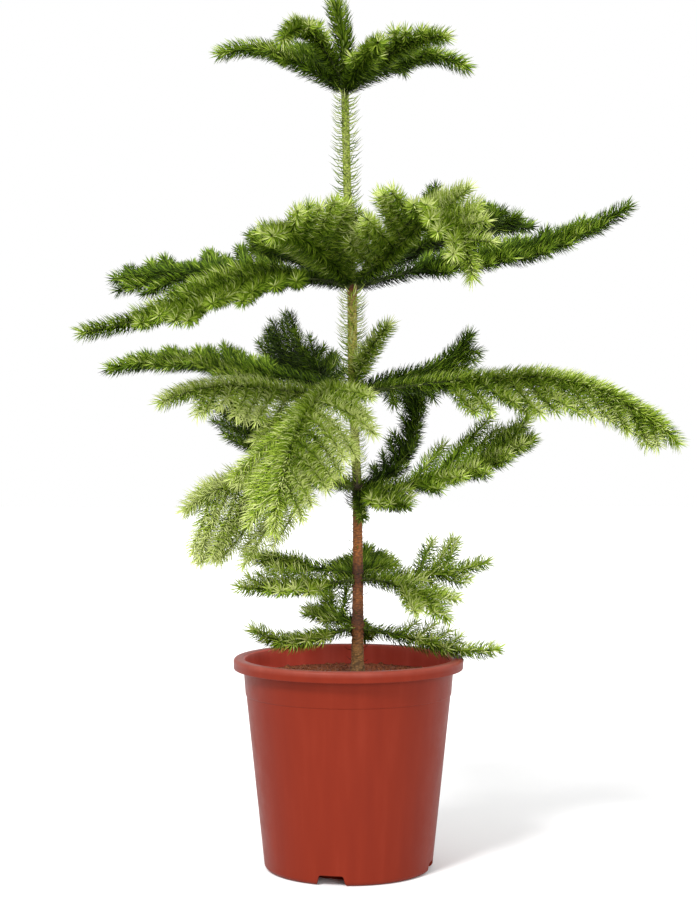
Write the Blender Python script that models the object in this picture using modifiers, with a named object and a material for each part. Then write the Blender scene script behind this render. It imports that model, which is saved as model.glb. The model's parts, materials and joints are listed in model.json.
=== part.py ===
"""Potted Norfolk Island pine: a young plant about 72 cm tall in a 19 cm nursery pot.

Metres, +Z up, standing on z = 0 with the pot's axis on the Z axis. Azimuths run anticlockwise
seen from above: 0 is +X, 90 is +Y (the back), 270 is -Y (the front).

The trunk is one solid from the soil to the leader's tip. Each whorl of side boughs is a tier,
numbered from the pot up. In tiers 3 to 5 a bough has a bare limb and then a spray; in the
younger and the stunted tiers the spray starts at the trunk. A spray is a stem with side twigs
in two ranks, all carrying needles as teeth, fused into one solid.
"""

import math
import random
from collections import namedtuple

import bmesh
import bpy
from mathutils import Vector
from mathutils.bvhtree import BVHTree

SEED = 7305
GAP = 0.0003

# Nursery pot
POT_STEPS = 40
POT_WALL = 0.0016
POT_TOP = 0.174
RIM_RADIUS = 0.095
RIM_DROP = 0.0090
RIM_INNER_RADIUS = 0.0878
RIM_ROUND = 0.0022
RIM_THROAT = 0.0028
NECK_RADIUS = 0.0868
NECK_HEIGHT = 0.1655
SHOULDER_HEIGHT = 0.1440
SHOULDER_RADIUS = 0.0852
SHOULDER_STEP = 0.0007
FOOT_RADIUS = 0.0698
FOOT_ROUND = 0.0045
FLOOR_PAD_RADIUS = 0.0440
FLOOR_PAD_SLOPE = 0.0070
FLOOR_LIFT = 0.0095
DRAIN_WIDTH = 0.0210
DRAIN_HEIGHT = 0.0085
DRAIN_ROUND = 0.0020
DRAIN_DEPTH = 0.0160
DRAIN_RADIUS = 0.0688
RIM_UNDERSIDE = 0.0030
DRAIN_AZIMUTHS = (78.3, 168.3, 258.3, 348.3)

# Soil
SOIL_TOP = 0.1590
SOIL_EDGE_DIP = 0.0016
SOIL_SHOULDER_RADIUS = 0.060
SOIL_SHOULDER_SHARE = 0.3
SOIL_LEVEL_RADIUS = 0.020

# Trunk: heights, sideways lean in X and radii at the same stations
TRUNK_HEIGHTS = (
    0.1593, 0.170, 0.236, 0.314, 0.392, 0.480, 0.560, 0.641, 0.680, 0.700, 0.713,
)
TRUNK_LEAN = (
    0.0074, 0.0074, 0.0078, 0.0073, 0.0036, 0.0030, -0.0010, -0.0030, -0.0038, -0.0078, -0.0110,
)
TRUNK_RADII = (
    0.0068, 0.0052, 0.0043, 0.0037, 0.0034, 0.0033, 0.0027, 0.0025, 0.0022, 0.0018, 0.0011,
)
TRUNK_FLAT_SHARE = 0.87
TRUNK_FLARE_TOP = 0.1640
TRUNK_TIP = (-0.0012, 0.0, 0.0030)
TRUNK_SIDES = 6
TRUNK_NEEDLES_FROM = 0.250
TRUNK_RING = 0.0125
OLD_WOOD_TOP = 0.470
OLD_WOOD_NEEDLE_SIZE = 0.65
YOUNG_WOOD_NEEDLE_SIZE = 0.90
TIER_CLEARANCE = 0.0085

# Boughs
PATH_STEPS = 24
LIMB_RADIUS = 0.0019
LIMB_TIP_RADIUS = 0.0015
LIMB_SHARE = 0.17
LIMB_STEPS = 4
LIMB_SIDES = 5
ROOT_CLEARANCE = 0.0004
ROOT_STEP = 0.00002
STEM_RADIUS = 0.0018
STEM_TIP_RADIUS = 0.0009
TWIG_RADIUS = 0.0012
TWIG_ROOT_RADIUS = 0.0007
TWIG_SIDES = 3
TWIG_PITCH = 0.0250
TWIG_ROOT_LENGTH = 0.75
TWIG_TAPER = 0.55
TWIG_LONGEST_AT = 0.25
TOOTH_RING = 0.0135
NEEDLE_REACH = 0.0095
NEEDLE_FORWARD = 0.0075
NEEDLE_TIP_SHARE = 0.60
TIP_LENGTH = 0.0050
BARE_RADIUS = 0.0210
TWIG_ANGLE_START = 62.0
TWIG_ANGLE_END = 48.0
TWIG_BEND = 0.25
TWIG_STIFFNESS = 0.9
TWIG_SCATTER = 3.0
PROBE_MARGIN = 0.00025
SHORTEST_TWIG = 0.012
SHORTENED = 0.8
WELD = 0.00002

Bough = namedtuple("Bough", "tier side height azimuth length rise lift reach first last hang")


def bough(tier, side, height, azimuth, length, rise, lift, reach, first, last, hang):
    """rise: slope in degrees at the root, the middle and the tip. lift and reach: how far the
    left-hand and the right-hand rank of twigs tilt up, in degrees, and how long they are. first
    and last: the stretch of the bough that carries twigs, as shares of its length. hang: how
    strongly the twigs' ends bend down."""
    return Bough(tier, side, height, azimuth, length, rise, lift, reach, first, last, hang)


BOUGHS = (
    bough(6, "left", 0.6407, 174, 0.114, (34, 27, -20), (-10, 5), (0.017, 0.018), 0.42, 0.74, 0.16),
    bough(6, "left_front", 0.6449, 236, 0.103, (47, 30, -50), (6, 39), (0.016, 0.017), 0.45, 0.77, 0.00),
    bough(6, "front", 0.6402, 287, 0.093, (21, 17, 5), (5, 1), (0.015, 0.016), 0.44, 0.75, 0.08),
    bough(6, "right_front", 0.6437, 320, 0.110, (25, 23, -11), (9, 19), (0.022, 0.024), 0.37, 0.81, -0.06),
    bough(6, "right", 0.6402, 1, 0.109, (35, 20, -31), (-1, 5), (0.019, 0.020), 0.45, 0.74, -0.02),
    bough(6, "right_back", 0.6437, 59, 0.110, (37, 27, -27), (5, 4), (0.020, 0.020), 0.40, 0.75, 0.00),
    bough(6, "left_back", 0.6412, 121, 0.112, (40, 32, -6), (5, 4), (0.020, 0.020), 0.40, 0.75, 0.02),
    bough(5, "left", 0.4790, 211, 0.248, (15, -22, -11), (-1, 39), (0.093, 0.029), 0.21, 0.78, 0.05),
    bough(5, "left_back", 0.4830, 150, 0.244, (11, 2, -4), (-43, 13), (0.053, 0.069), 0.29, 0.93, -0.15),
    bough(5, "right", 0.4785, 8, 0.247, (18, 9, 31), (17, -20), (0.042, 0.046), 0.23, 0.84, -0.15),
    bough(5, "right_front", 0.4830, 297, 0.224, (12, 24, -76), (46, 17), (0.055, 0.060), 0.17, 0.90, 0.00),
    bough(5, "left_front", 0.4820, 248, 0.165, (19, 15, -13), (39, 5), (0.066, 0.047), 0.10, 0.88, -0.21),
    bough(5, "right_back", 0.4830, 41, 0.223, (24, 18, 3), (26, 30), (0.095, 0.048), 0.27, 0.85, -0.11),
    bough(5, "back", 0.4790, 117, 0.176, (21, 20, -16), (8, 9), (0.060, 0.061), 0.26, 0.93, -0.20),
    bough(4, "right", 0.3920, 339, 0.284, (8, 2, -46), (-4, -36), (0.049, 0.070), 0.28, 0.93, -0.05),
    bough(4, "right_back", 0.3940, 37, 0.140, (13, 11, 50), (-55, -19), (0.044, 0.042), 0.27, 0.90, 0.50),
    bough(4, "back", 0.3920, 114, 0.210, (4, 14, -5), (70, 6), (0.066, 0.062), 0.30, 0.90, -0.35),
    bough(4, "left", 0.3940, 158, 0.231, (11, 10, -11), (-5, 27), (0.038, 0.050), 0.30, 0.89, 0.18),
    bough(4, "front", 0.3930, 246, 0.204, (13, -39, -79), (5, -21), (0.090, 0.086), 0.23, 0.85, 0.30),
    bough(4, "left_front", 0.3900, 212, 0.178, (1, 7, -23), (-45, 5), (0.052, 0.040), 0.20, 0.84, 0.34),
    bough(4, "right_front", 0.3945, 314, 0.068, (70, 50, 35), (-10, 3), (0.011, 0.012), 0.25, 0.75, 0.03),
    bough(3, "right", 0.3130, 350, 0.152, (0, 17, 32), (29, -12), (0.082, 0.050), 0.30, 0.93, -0.06),
    bough(3, "right_back", 0.3165, 36, 0.112, (-6, 60, 88), (27, 14), (0.028, 0.028), 0.20, 0.92, -0.01),
    bough(3, "left_back", 0.3145, 139, 0.166, (12, 24, 43), (-3, 13), (0.067, 0.055), 0.30, 0.89, -0.13),
    bough(3, "left_front", 0.3135, 205, 0.158, (14, 0, -38), (-76, 24), (0.104, 0.029), 0.28, 0.89, 0.02),
    bough(3, "front", 0.3130, 277, 0.039, (-28, -43, -32), (-61, 8), (0.018, 0.011), 0.31, 0.80, 0.42),
    bough(3, "right_front", 0.3095, 312, 0.060, (-7, -10, -3), (26, -1), (0.032, 0.023), 0.24, 0.78, -0.01),
    bough(2, "left_back", 0.2420, 165, 0.098, (10, 2, 23), (39, 8), (0.026, 0.020), 0.41, 0.86, -0.02),
    bough(2, "left_front", 0.2380, 210, 0.110, (-4, -2, 5), (-3, 45), (0.032, 0.033), 0.30, 0.83, -0.03),
    bough(2, "right", 0.2410, 16, 0.115, (-6, 4, 16), (32, -48), (0.064, 0.034), 0.45, 0.75, -0.29),
    bough(2, "right_front", 0.2390, 334, 0.088, (0, -16, -50), (4, -3), (0.055, 0.056), 0.39, 0.75, -0.00),
    bough(2, "back", 0.2420, 85, 0.102, (6, 5, 16), (2, 0), (0.036, 0.045), 0.10, 0.81, 0.14),
    bough(1, "left", 0.1990, 194, 0.092, (-12, -11, 36), (1, -6), (0.020, 0.021), 0.28, 0.81, 0.25),
    bough(1, "left_back", 0.2000, 132, 0.062, (18, 3, 10), (-11, 38), (0.030, 0.047), 0.28, 0.79, -0.21),
    bough(1, "right", 0.1980, 356, 0.118, (-7, -18, 10), (51, 11), (0.027, 0.018), 0.31, 0.76, -0.32),
    bough(1, "right_back", 0.2000, 83, 0.055, (-7, -20, -14), (-4, -22), (0.015, 0.014), 0.28, 0.75, 0.03),
)

LIMBED_TIERS = (3, 4, 5)
LIMBED_LENGTH = 0.10

COLOURS = {
    "plastic": ("#A23A27", 0.42),
    "soil": ("#7A4424", 0.95),
    "bark": ("#7B5536", 0.80),
    "twig_bark": ("#6F7A34", 0.75),
    "needles": ("#5C9427", 0.60),
}


def to_linear(hexcode):
    channels = []
    for i in (1, 3, 5):
        value = int(hexcode[i:i + 2], 16) / 255
        channels.append(value / 12.92 if value <= 0.04045 else ((value + 0.055) / 1.055) ** 2.4)
    return (*channels, 1.0)


def painted(name, kind):
    colour, roughness = COLOURS[kind]
    material = bpy.data.materials.new(name)
    material.use_nodes = True
    shader = material.node_tree.nodes["Principled BSDF"]
    shader.inputs["Base Color"].default_value = to_linear(colour)
    shader.inputs["Roughness"].default_value = roughness
    material.diffuse_color = to_linear(colour)
    return material


def interpolate(x, xs, ys):
    if x <= xs[0]:
        return ys[0]
    for i in range(1, len(xs)):
        if x <= xs[i]:
            t = (x - xs[i - 1]) / (xs[i] - xs[i - 1])
            return ys[i - 1] + (ys[i] - ys[i - 1]) * t
    return ys[-1]


def trunk_point(z):
    return Vector((interpolate(z, TRUNK_HEIGHTS, TRUNK_LEAN), 0.0, z))


def trunk_radius(z):
    return interpolate(z, TRUNK_HEIGHTS, TRUNK_RADII)


class Path:
    """A bough's centre line: points and directions at equal steps, looked up by share."""

    def __init__(self, b):
        point = trunk_point(b.height)
        self.points = [point.copy()]
        self.directions = []
        for i in range(PATH_STEPS):
            share = (i + 0.5) / PATH_STEPS
            azimuth = math.radians(b.azimuth)
            slope = math.radians(interpolate(share, (0.0, 0.5, 1.0), b.rise))
            direction = Vector((
                math.cos(slope) * math.cos(azimuth),
                math.cos(slope) * math.sin(azimuth),
                math.sin(slope),
            ))
            point = point + direction * (b.length / PATH_STEPS)
            self.directions.append(direction)
            self.points.append(point.copy())

    def at(self, share):
        place = min(max(share, 0.0), 1.0) * PATH_STEPS
        i = min(int(place), PATH_STEPS - 1)
        point = self.points[i].lerp(self.points[i + 1], place - i)
        return point, self.directions[i]


def toothless(i, k):
    return 0.0, 0.0


def toothed(points, radii, teeth, sides, skipped=frozenset(), margin=0.0, spin=0.0):
    """A closed slim core along points, with a needle drawn out of each side face that teeth
    gives a reach to. Returns vertices, faces and, for each face, the needle it belongs to."""
    verts = []
    faces = []
    owners = []
    across = None
    rings = []
    for i, point in enumerate(points):
        before = points[max(i - 1, 0)]
        after = points[min(i + 1, len(points) - 1)]
        axis = (after - before).normalized()
        if across is None:
            across = axis.orthogonal().normalized()
        across = (across - axis * across.dot(axis)).normalized()
        upward = axis.cross(across)
        ring = []
        if radii[i] <= 0.0:
            ring.append(len(verts))
            verts.append(point + axis * margin)
        else:
            for k in range(sides):
                angle = 2 * math.pi * k / sides + spin * i
                offset = across * math.cos(angle) + upward * math.sin(angle)
                ring.append(len(verts))
                verts.append(point + offset * (radii[i] + margin))
        rings.append(ring)
    faces.append(tuple(reversed(rings[0])))
    owners.append(None)
    for i in range(len(points) - 1):
        lower, upper = rings[i], rings[i + 1]
        axis = (points[i + 1] - points[i]).normalized()
        for k in range(sides):
            a, b = lower[k], lower[(k + 1) % sides]
            if len(upper) == 1:
                faces.append((a, b, upper[0]))
                owners.append(None)
                continue
            c, d = upper[(k + 1) % sides], upper[k]
            key = (i, k)
            reach, forward = teeth(i, k)
            if reach <= 0.0 or key in skipped:
                faces.append((a, b, c))
                faces.append((a, c, d))
                owners += [None, None]
                continue
            centre = (verts[a] + verts[b] + verts[c] + verts[d]) / 4
            middle = (points[i] + points[i + 1]) / 2
            out = centre - middle
            out = (out - axis * out.dot(axis)).normalized()
            tip = len(verts)
            verts.append(centre + out * (reach + margin) + axis * (forward + margin))
            for pair in ((a, b), (b, c), (c, d), (d, a)):
                faces.append((pair[0], pair[1], tip))
                owners.append(key)
    if len(rings[-1]) > 1:
        faces.append(tuple(rings[-1]))
        owners.append(None)
    return verts, faces, owners


def mesh_object(name, verts, faces, collection):
    mesh = bpy.data.meshes.new(name)
    mesh.from_pydata([tuple(v) for v in verts], [], faces)
    bm = bmesh.new()
    bm.from_mesh(mesh)
    bmesh.ops.recalc_face_normals(bm, faces=bm.faces)
    bmesh.ops.triangulate(bm, faces=bm.faces)
    bm.to_mesh(mesh)
    bm.free()
    made = bpy.data.objects.new(name, mesh)
    collection.objects.link(made)
    return made


class Shoot:
    """A needled stem or twig before it is fused: its core line, radii and needles."""

    def __init__(self, points, radii, first_tooth, spin):
        self.points = points
        self.radii = radii
        self.first_tooth = first_tooth
        self.spin = spin
        self.sides = TWIG_SIDES
        self.skipped = set()

    def teeth(self, i, k):
        if i < self.first_tooth:
            return 0.0, 0.0
        share = (i + 1) / max(len(self.points) - 1, 1)
        size = 1.0 - (1.0 - NEEDLE_TIP_SHARE) * share
        return NEEDLE_REACH * size, NEEDLE_FORWARD * size

    def build(self, margin=0.0):
        skipped = frozenset(self.skipped)
        return toothed(self.points, self.radii, self.teeth, self.sides, skipped, margin, self.spin)

    def build_bare(self):
        return toothed(self.points, self.radii, toothless, self.sides, spin=self.spin)[:2]


class Space:
    """What is already in place, so that a new shoot can be tried against the other nodes."""

    def __init__(self):
        self.items = []

    def add(self, owner, verts, faces):
        low = Vector([min(v[i] for v in verts) for i in range(3)])
        high = Vector([max(v[i] for v in verts) for i in range(3)])
        self.items.append((owner, low, high, BVHTree.FromPolygons(verts, faces)))

    def add_body(self, body):
        shown = body.evaluated_get(bpy.context.evaluated_depsgraph_get())
        mesh = shown.to_mesh()
        verts = [vertex.co.copy() for vertex in mesh.vertices]
        self.add(body.name, verts, [tuple(face.vertices) for face in mesh.polygons])
        shown.to_mesh_clear()

    def touched(self, owner, verts, faces):
        """Indices of the faces of a new piece that meet a piece of another owner."""
        low = [min(v[i] for v in verts) for i in range(3)]
        high = [max(v[i] for v in verts) for i in range(3)]
        tree = None
        found = set()
        for other, other_low, other_high, other_tree in self.items:
            if other == owner:
                continue
            if any(low[i] > other_high[i] or high[i] < other_low[i] for i in range(3)):
                continue
            if tree is None:
                tree = BVHTree.FromPolygons(verts, faces)
            found.update(pair[0] for pair in tree.overlap(other_tree))
        return found


def settle(space, owner, shoot):
    """Skips the needles that would touch another node. False where the core itself comes near."""
    for _ in range(6):
        verts, faces, owners = shoot.build(PROBE_MARGIN)
        keys = {owners[i] for i in space.touched(owner, verts, faces)}
        core_touches = None in keys
        keys.discard(None)
        if not keys:
            return not core_touches
        shoot.skipped.update(keys)
    return False


def spaced(length, ring):
    return max(1, round(length / ring))


def stem_shoot(b, path, start):
    """The stem of a spray, from share start of its bough to the tip."""
    length = b.length * (1.0 - start) - TIP_LENGTH
    count = spaced(length, TOOTH_RING)
    end = 1.0 - TIP_LENGTH / b.length
    points = []
    radii = []
    for i in range(count + 1):
        share = start + (end - start) * i / count
        points.append(path.at(share)[0])
        radii.append(STEM_RADIUS + (STEM_TIP_RADIUS - STEM_RADIUS) * i / count)
    points.append(path.at(1.0)[0])
    radii.append(0.0)
    trunk = trunk_point(b.height)
    first = 0
    while first < count and (points[first] - trunk).length < BARE_RADIUS:
        first += 1
    return Shoot(points, radii, first, 0.5)


def twig_direction(b, path, share, side, angle):
    point, along = path.at(share)
    left = Vector((0, 0, 1)).cross(along).normalized()
    normal = along.cross(left)
    out = left if side == 0 else -left
    lift = math.radians(b.lift[side])
    out = out * math.cos(lift) + normal * math.sin(lift)
    return point, along, along * math.cos(angle) + out * math.sin(angle)


def along_ranks(b, share):
    """0 at the first twig of a bough and 1 at the last."""
    return (share - b.first) / max(b.last - b.first, 0.01)


def twig_length(b, side, share):
    """Twigs are shorter next to the trunk, longest a quarter of the way out, shortest at the end."""
    u = along_ranks(b, share)
    swell = TWIG_ROOT_LENGTH + (1.0 - TWIG_ROOT_LENGTH) * min(1.0, u / TWIG_LONGEST_AT)
    taper = 1.0 - TWIG_TAPER * max(0.0, u - TWIG_LONGEST_AT) / (1.0 - TWIG_LONGEST_AT)
    return b.reach[side] * swell * taper


def twig_shoot(b, path, share, side, length, rng):
    u = along_ranks(b, share)
    angle = TWIG_ANGLE_START + (TWIG_ANGLE_END - TWIG_ANGLE_START) * u
    angle += rng.uniform(-TWIG_SCATTER, TWIG_SCATTER)
    root, along, way = twig_direction(b, path, share, side, math.radians(angle))
    bent = (way * TWIG_STIFFNESS + along * TWIG_BEND - Vector((0, 0, b.hang))).normalized()
    count = spaced(length, TOOTH_RING)
    points = [root]
    radii = [TWIG_ROOT_RADIUS]
    for i in range(1, count + 1):
        direction = way.lerp(bent, i / count).normalized()
        points.append(points[-1] + direction * (length / count))
        radii.append(TWIG_RADIUS + (STEM_TIP_RADIUS - TWIG_RADIUS) * i / count)
    points.append(points[-1] + bent * TIP_LENGTH)
    radii.append(0.0)
    return Shoot(points, radii, 1, rng.choice((0.4, 0.5, 0.6)))


def twig_places(b):
    """Share along the bough and rank of each twig, the two ranks half a pitch apart."""
    count = max(1, round((b.last - b.first) * b.length / TWIG_PITCH))
    for side in (0, 1):
        for i in range(count):
            yield b.first + (b.last - b.first) * (i + 0.5 * side) / count, side


def union_mesh(source, others, solver):
    """The union of an object with a collection, as a triangulated bmesh of one island."""
    union = source.modifiers.new("join", "BOOLEAN")
    union.operation = "UNION"
    union.solver = solver
    union.operand_type = "COLLECTION"
    union.collection = others
    bpy.context.view_layer.update()
    graph = bpy.context.evaluated_depsgraph_get()
    mesh = bpy.data.meshes.new_from_object(source.evaluated_get(graph))
    source.modifiers.remove(union)
    bm = bmesh.new()
    bm.from_mesh(mesh)
    bpy.data.meshes.remove(mesh)
    return bm


def is_closed(bm):
    return all(len(edge.link_faces) == 2 for edge in bm.edges)


def fused(name, pieces, collection):
    """One closed solid from overlapping closed pieces."""
    source = pieces[0]
    others = bpy.data.collections.new("joining")
    bpy.context.scene.collection.children.link(others)
    for piece in pieces[1:]:
        collection.objects.unlink(piece)
        others.objects.link(piece)
    result = None
    for solver, weld in (("EXACT", WELD), ("MANIFOLD", WELD), ("EXACT", 0.0), ("MANIFOLD", 0.0)):
        bm = union_mesh(source, others, solver)
        if weld:
            bmesh.ops.remove_doubles(bm, verts=bm.verts, dist=weld)
            bmesh.ops.dissolve_degenerate(bm, edges=bm.edges, dist=weld / 2)
        bmesh.ops.triangulate(bm, faces=bm.faces)
        keep_largest(bm)
        if is_closed(bm):
            result = bm
            break
        bm.free()
    if result is None:
        raise RuntimeError(name + " did not fuse")
    mesh = bpy.data.meshes.new(name)
    result.to_mesh(mesh)
    result.free()
    for piece in pieces:
        bpy.data.objects.remove(piece)
    bpy.data.collections.remove(others)
    made = bpy.data.objects.new(name, mesh)
    collection.objects.link(made)
    return made


def keep_largest(bm):
    """Drops loose scraps and sealed hollows, which are islands apart from the main one."""
    seen = set()
    islands = []
    for face in bm.faces:
        if face in seen:
            continue
        island = []
        queue = [face]
        seen.add(face)
        while queue:
            current = queue.pop()
            island.append(current)
            for edge in current.edges:
                for neighbour in edge.link_faces:
                    if neighbour not in seen:
                        seen.add(neighbour)
                        queue.append(neighbour)
        islands.append(island)
    islands.sort(key=len)
    for island in islands[:-1]:
        bmesh.ops.delete(bm, geom=island, context="FACES")


def lathe(name, profile, collection):
    """Turns a closed (radius, height) profile about the Z axis with a Screw modifier."""
    mesh = bpy.data.meshes.new(name)
    count = len(profile)
    closed = profile[0][0] > 0.0
    edges = [(i, i + 1) for i in range(count - 1)] + ([(count - 1, 0)] if closed else [])
    mesh.from_pydata([(r, 0.0, z) for r, z in profile], edges, [])
    made = bpy.data.objects.new(name, mesh)
    collection.objects.link(made)
    screw = made.modifiers.new("turn", "SCREW")
    screw.axis = "Z"
    screw.steps = POT_STEPS
    screw.render_steps = POT_STEPS
    screw.use_merge_vertices = True
    screw.merge_threshold = 0.00001
    screw.use_normal_calculate = True
    return made


def rounded(centre_r, centre_z, radius, start, end, count=4):
    for i in range(count + 1):
        angle = math.radians(start + (end - start) * i / count)
        yield centre_r + radius * math.cos(angle), centre_z + radius * math.sin(angle)


def pot_inner_profile(inset):
    """The inside of the pot from the middle of its floor up the wall, moved in by inset."""
    wall_foot = FOOT_RADIUS - POT_WALL - inset
    lift = FLOOR_LIFT + POT_WALL + inset
    return [
        (0.0, POT_WALL + inset),
        (FLOOR_PAD_RADIUS - inset, POT_WALL + inset),
        (FLOOR_PAD_RADIUS + FLOOR_PAD_SLOPE - inset, lift),
        (wall_foot, lift),
    ]


def drain_cutter(azimuth, cutters):
    """A block with its two upper long edges rounded, standing through the foot ring."""
    bm = bmesh.new()
    bmesh.ops.create_cube(bm, size=1.0)
    bmesh.ops.scale(bm, vec=(DRAIN_DEPTH, DRAIN_WIDTH, 2 * DRAIN_HEIGHT), verts=bm.verts)
    upper = [e for e in bm.edges if min(v.co.z for v in e.verts) > 0.0]
    long_edges = [e for e in upper if abs(e.verts[0].co.y - e.verts[1].co.y) < WELD]
    bmesh.ops.bevel(bm, geom=long_edges, offset=DRAIN_ROUND, segments=2, profile=0.5, affect="EDGES")
    mesh = bpy.data.meshes.new("drain_cutter")
    bm.to_mesh(mesh)
    bm.free()
    cutter = bpy.data.objects.new("drain_cutter", mesh)
    angle = math.radians(azimuth)
    cutter.location = (DRAIN_RADIUS * math.cos(angle), DRAIN_RADIUS * math.sin(angle), 0.0)
    cutter.rotation_euler = (0.0, 0.0, angle)
    cutter.hide_render = True
    cutter.display_type = "WIRE"
    cutters.objects.link(cutter)


def build_pot(collection, cutters):
    foot_inside = FOOT_RADIUS - 2 * POT_WALL
    rim_bottom = POT_TOP - RIM_DROP
    profile = [
        (0.0, 0.0),
        (FLOOR_PAD_RADIUS + POT_WALL / 2, 0.0),
        (FLOOR_PAD_RADIUS + FLOOR_PAD_SLOPE + POT_WALL / 2, FLOOR_LIFT),
        (foot_inside, FLOOR_LIFT),
        (foot_inside - SHOULDER_STEP, 0.0),
    ]
    profile += list(rounded(FOOT_RADIUS - FOOT_ROUND, FOOT_ROUND, FOOT_ROUND, -80, 0, 3))
    profile += [
        (SHOULDER_RADIUS - SHOULDER_STEP, SHOULDER_HEIGHT - SHOULDER_STEP / 2),
        (SHOULDER_RADIUS, SHOULDER_HEIGHT + SHOULDER_STEP / 2),
        (NECK_RADIUS, NECK_HEIGHT),
        (NECK_RADIUS + POT_WALL, POT_TOP - RIM_UNDERSIDE - GAP),
        (RIM_RADIUS - POT_WALL, POT_TOP - RIM_UNDERSIDE),
        (RIM_RADIUS - POT_WALL, rim_bottom),
        (RIM_RADIUS - GAP, rim_bottom),
    ]
    profile += list(rounded(RIM_RADIUS - RIM_ROUND, POT_TOP - RIM_ROUND, RIM_ROUND, 0, 90, 3))
    profile += list(rounded(RIM_INNER_RADIUS + GAP, POT_TOP - RIM_THROAT, RIM_THROAT, 90, 160, 2))
    profile += [
        (NECK_RADIUS - POT_WALL, NECK_HEIGHT),
        (SHOULDER_RADIUS - POT_WALL, SHOULDER_HEIGHT),
    ]
    profile += list(reversed(pot_inner_profile(0.0)))
    for azimuth in DRAIN_AZIMUTHS:
        drain_cutter(azimuth, cutters)
    return lathe("pot", profile, collection)


def cut_drains(pot, cutters):
    cut = pot.modifiers.new("drain openings", "BOOLEAN")
    cut.operation = "DIFFERENCE"
    cut.solver = "EXACT"
    cut.operand_type = "COLLECTION"
    cut.collection = cutters


def wall_inner_radius(z):
    """Radius of the pot's inner wall between its foot and its rim."""
    foot = pot_inner_profile(0.0)[-1]
    heights = (foot[1], SHOULDER_HEIGHT, NECK_HEIGHT)
    return interpolate(z, heights, (foot[0], SHOULDER_RADIUS - POT_WALL, NECK_RADIUS - POT_WALL))


def build_soil(collection):
    edge_z = SOIL_TOP - SOIL_EDGE_DIP
    profile = pot_inner_profile(GAP)
    profile += [
        (SHOULDER_RADIUS - POT_WALL - GAP, SHOULDER_HEIGHT),
        (wall_inner_radius(edge_z) - GAP, edge_z),
        (SOIL_SHOULDER_RADIUS, SOIL_TOP - SOIL_EDGE_DIP * SOIL_SHOULDER_SHARE),
        (SOIL_LEVEL_RADIUS, SOIL_TOP),
        (0.0, SOIL_TOP),
    ]
    return lathe("soil", profile, collection)


def near_tier(z):
    heights = {}
    for b in BOUGHS:
        heights.setdefault(b.tier, []).append(b.height)
    for values in heights.values():
        if min(values) - TIER_CLEARANCE < z < max(values) + TIER_CLEARANCE:
            return True
    return False


def trunk_rings():
    """Ring heights up the trunk, closer together at the root flare."""
    heights = [TRUNK_HEIGHTS[0], TRUNK_FLARE_TOP, TRUNK_HEIGHTS[1]]
    top = TRUNK_HEIGHTS[-1]
    count = round((top - heights[-1]) / TRUNK_RING)
    step = (top - heights[-1]) / count
    heights += [TRUNK_HEIGHTS[1] + step * (i + 1) for i in range(count)]
    return heights


def trunk_shoot():
    heights = trunk_rings()
    points = [trunk_point(z) for z in heights]
    radii = [trunk_radius(z) for z in heights]
    points.append(points[-1] + Vector(TRUNK_TIP))
    radii.append(0.0)

    def teeth(i, k):
        if i >= len(heights) - 1:
            return 0.0, 0.0
        low, high = heights[i], heights[i + 1]
        if low < TRUNK_NEEDLES_FROM or near_tier(low) or near_tier(high):
            return 0.0, 0.0
        if (i + k) % 2:
            return 0.0, 0.0
        size = OLD_WOOD_NEEDLE_SIZE if low < OLD_WOOD_TOP else YOUNG_WOOD_NEEDLE_SIZE
        return NEEDLE_REACH * size, NEEDLE_FORWARD * size

    trunk = Shoot(points, radii, 0, 0.0)
    trunk.teeth = teeth
    trunk.sides = TRUNK_SIDES
    return trunk


def clear_of_trunk(trunk_faces, b, path, radius):
    """Share of a bough at which its flat root stands just clear of the trunk."""
    share = trunk_radius(b.height) * TRUNK_FLAT_SHARE / b.length
    along = path.directions[0]
    across = along.cross(Vector((0, 0, 1))).normalized() * radius
    upward = across.cross(along)
    while share < 1.0:
        point = path.at(share)[0]
        clearances = []
        for rim in (point - across, point + across, point - upward, point + upward):
            near, normal, _, _ = trunk_faces.find_nearest(rim)
            clearances.append((rim - near).dot(normal))
        if min(clearances) >= ROOT_CLEARANCE:
            break
        share += ROOT_STEP / b.length
    return share


def limb_of(trunk_faces, b, path):
    """The bare limb of a bough: from clear of the trunk to where its spray begins."""
    start = clear_of_trunk(trunk_faces, b, path, LIMB_RADIUS)
    points = []
    radii = []
    for i in range(LIMB_STEPS + 1):
        share = i / LIMB_STEPS
        points.append(path.at(start + (LIMB_SHARE - start) * share)[0])
        radii.append(LIMB_RADIUS + (LIMB_TIP_RADIUS - LIMB_RADIUS) * share)
    return toothed(points, radii, toothless, LIMB_SIDES)[:2]


def has_limb(b):
    return b.tier in LIMBED_TIERS and b.length > LIMBED_LENGTH


def spray_start(trunk_faces, b, path):
    if has_limb(b):
        return LIMB_SHARE + GAP / b.length
    return clear_of_trunk(trunk_faces, b, path, STEM_RADIUS)


def node_name(b, kind):
    return f"tier_{b.tier}_{b.side}_{kind}"


def add_limbs(space, trunk_faces, paths, collection):
    for b in BOUGHS:
        if has_limb(b):
            name = node_name(b, "limb")
            verts, faces = limb_of(trunk_faces, b, paths[b])
            limb = mesh_object(name, verts, faces, collection)
            limb.data.materials.append(painted(name + "_bark", "twig_bark"))
            space.add(name, verts, faces)


def grow_stems(space, trunk_faces, paths):
    """The stem of every spray, with the needles left off that would touch another node."""
    stems = {}
    for b in BOUGHS:
        name = node_name(b, "spray")
        stem = stem_shoot(b, paths[b], spray_start(trunk_faces, b, paths[b]))
        settle(space, name, stem)
        space.add(name, *stem.build()[:2])
        stems[b] = [stem]
    return stems


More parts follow.
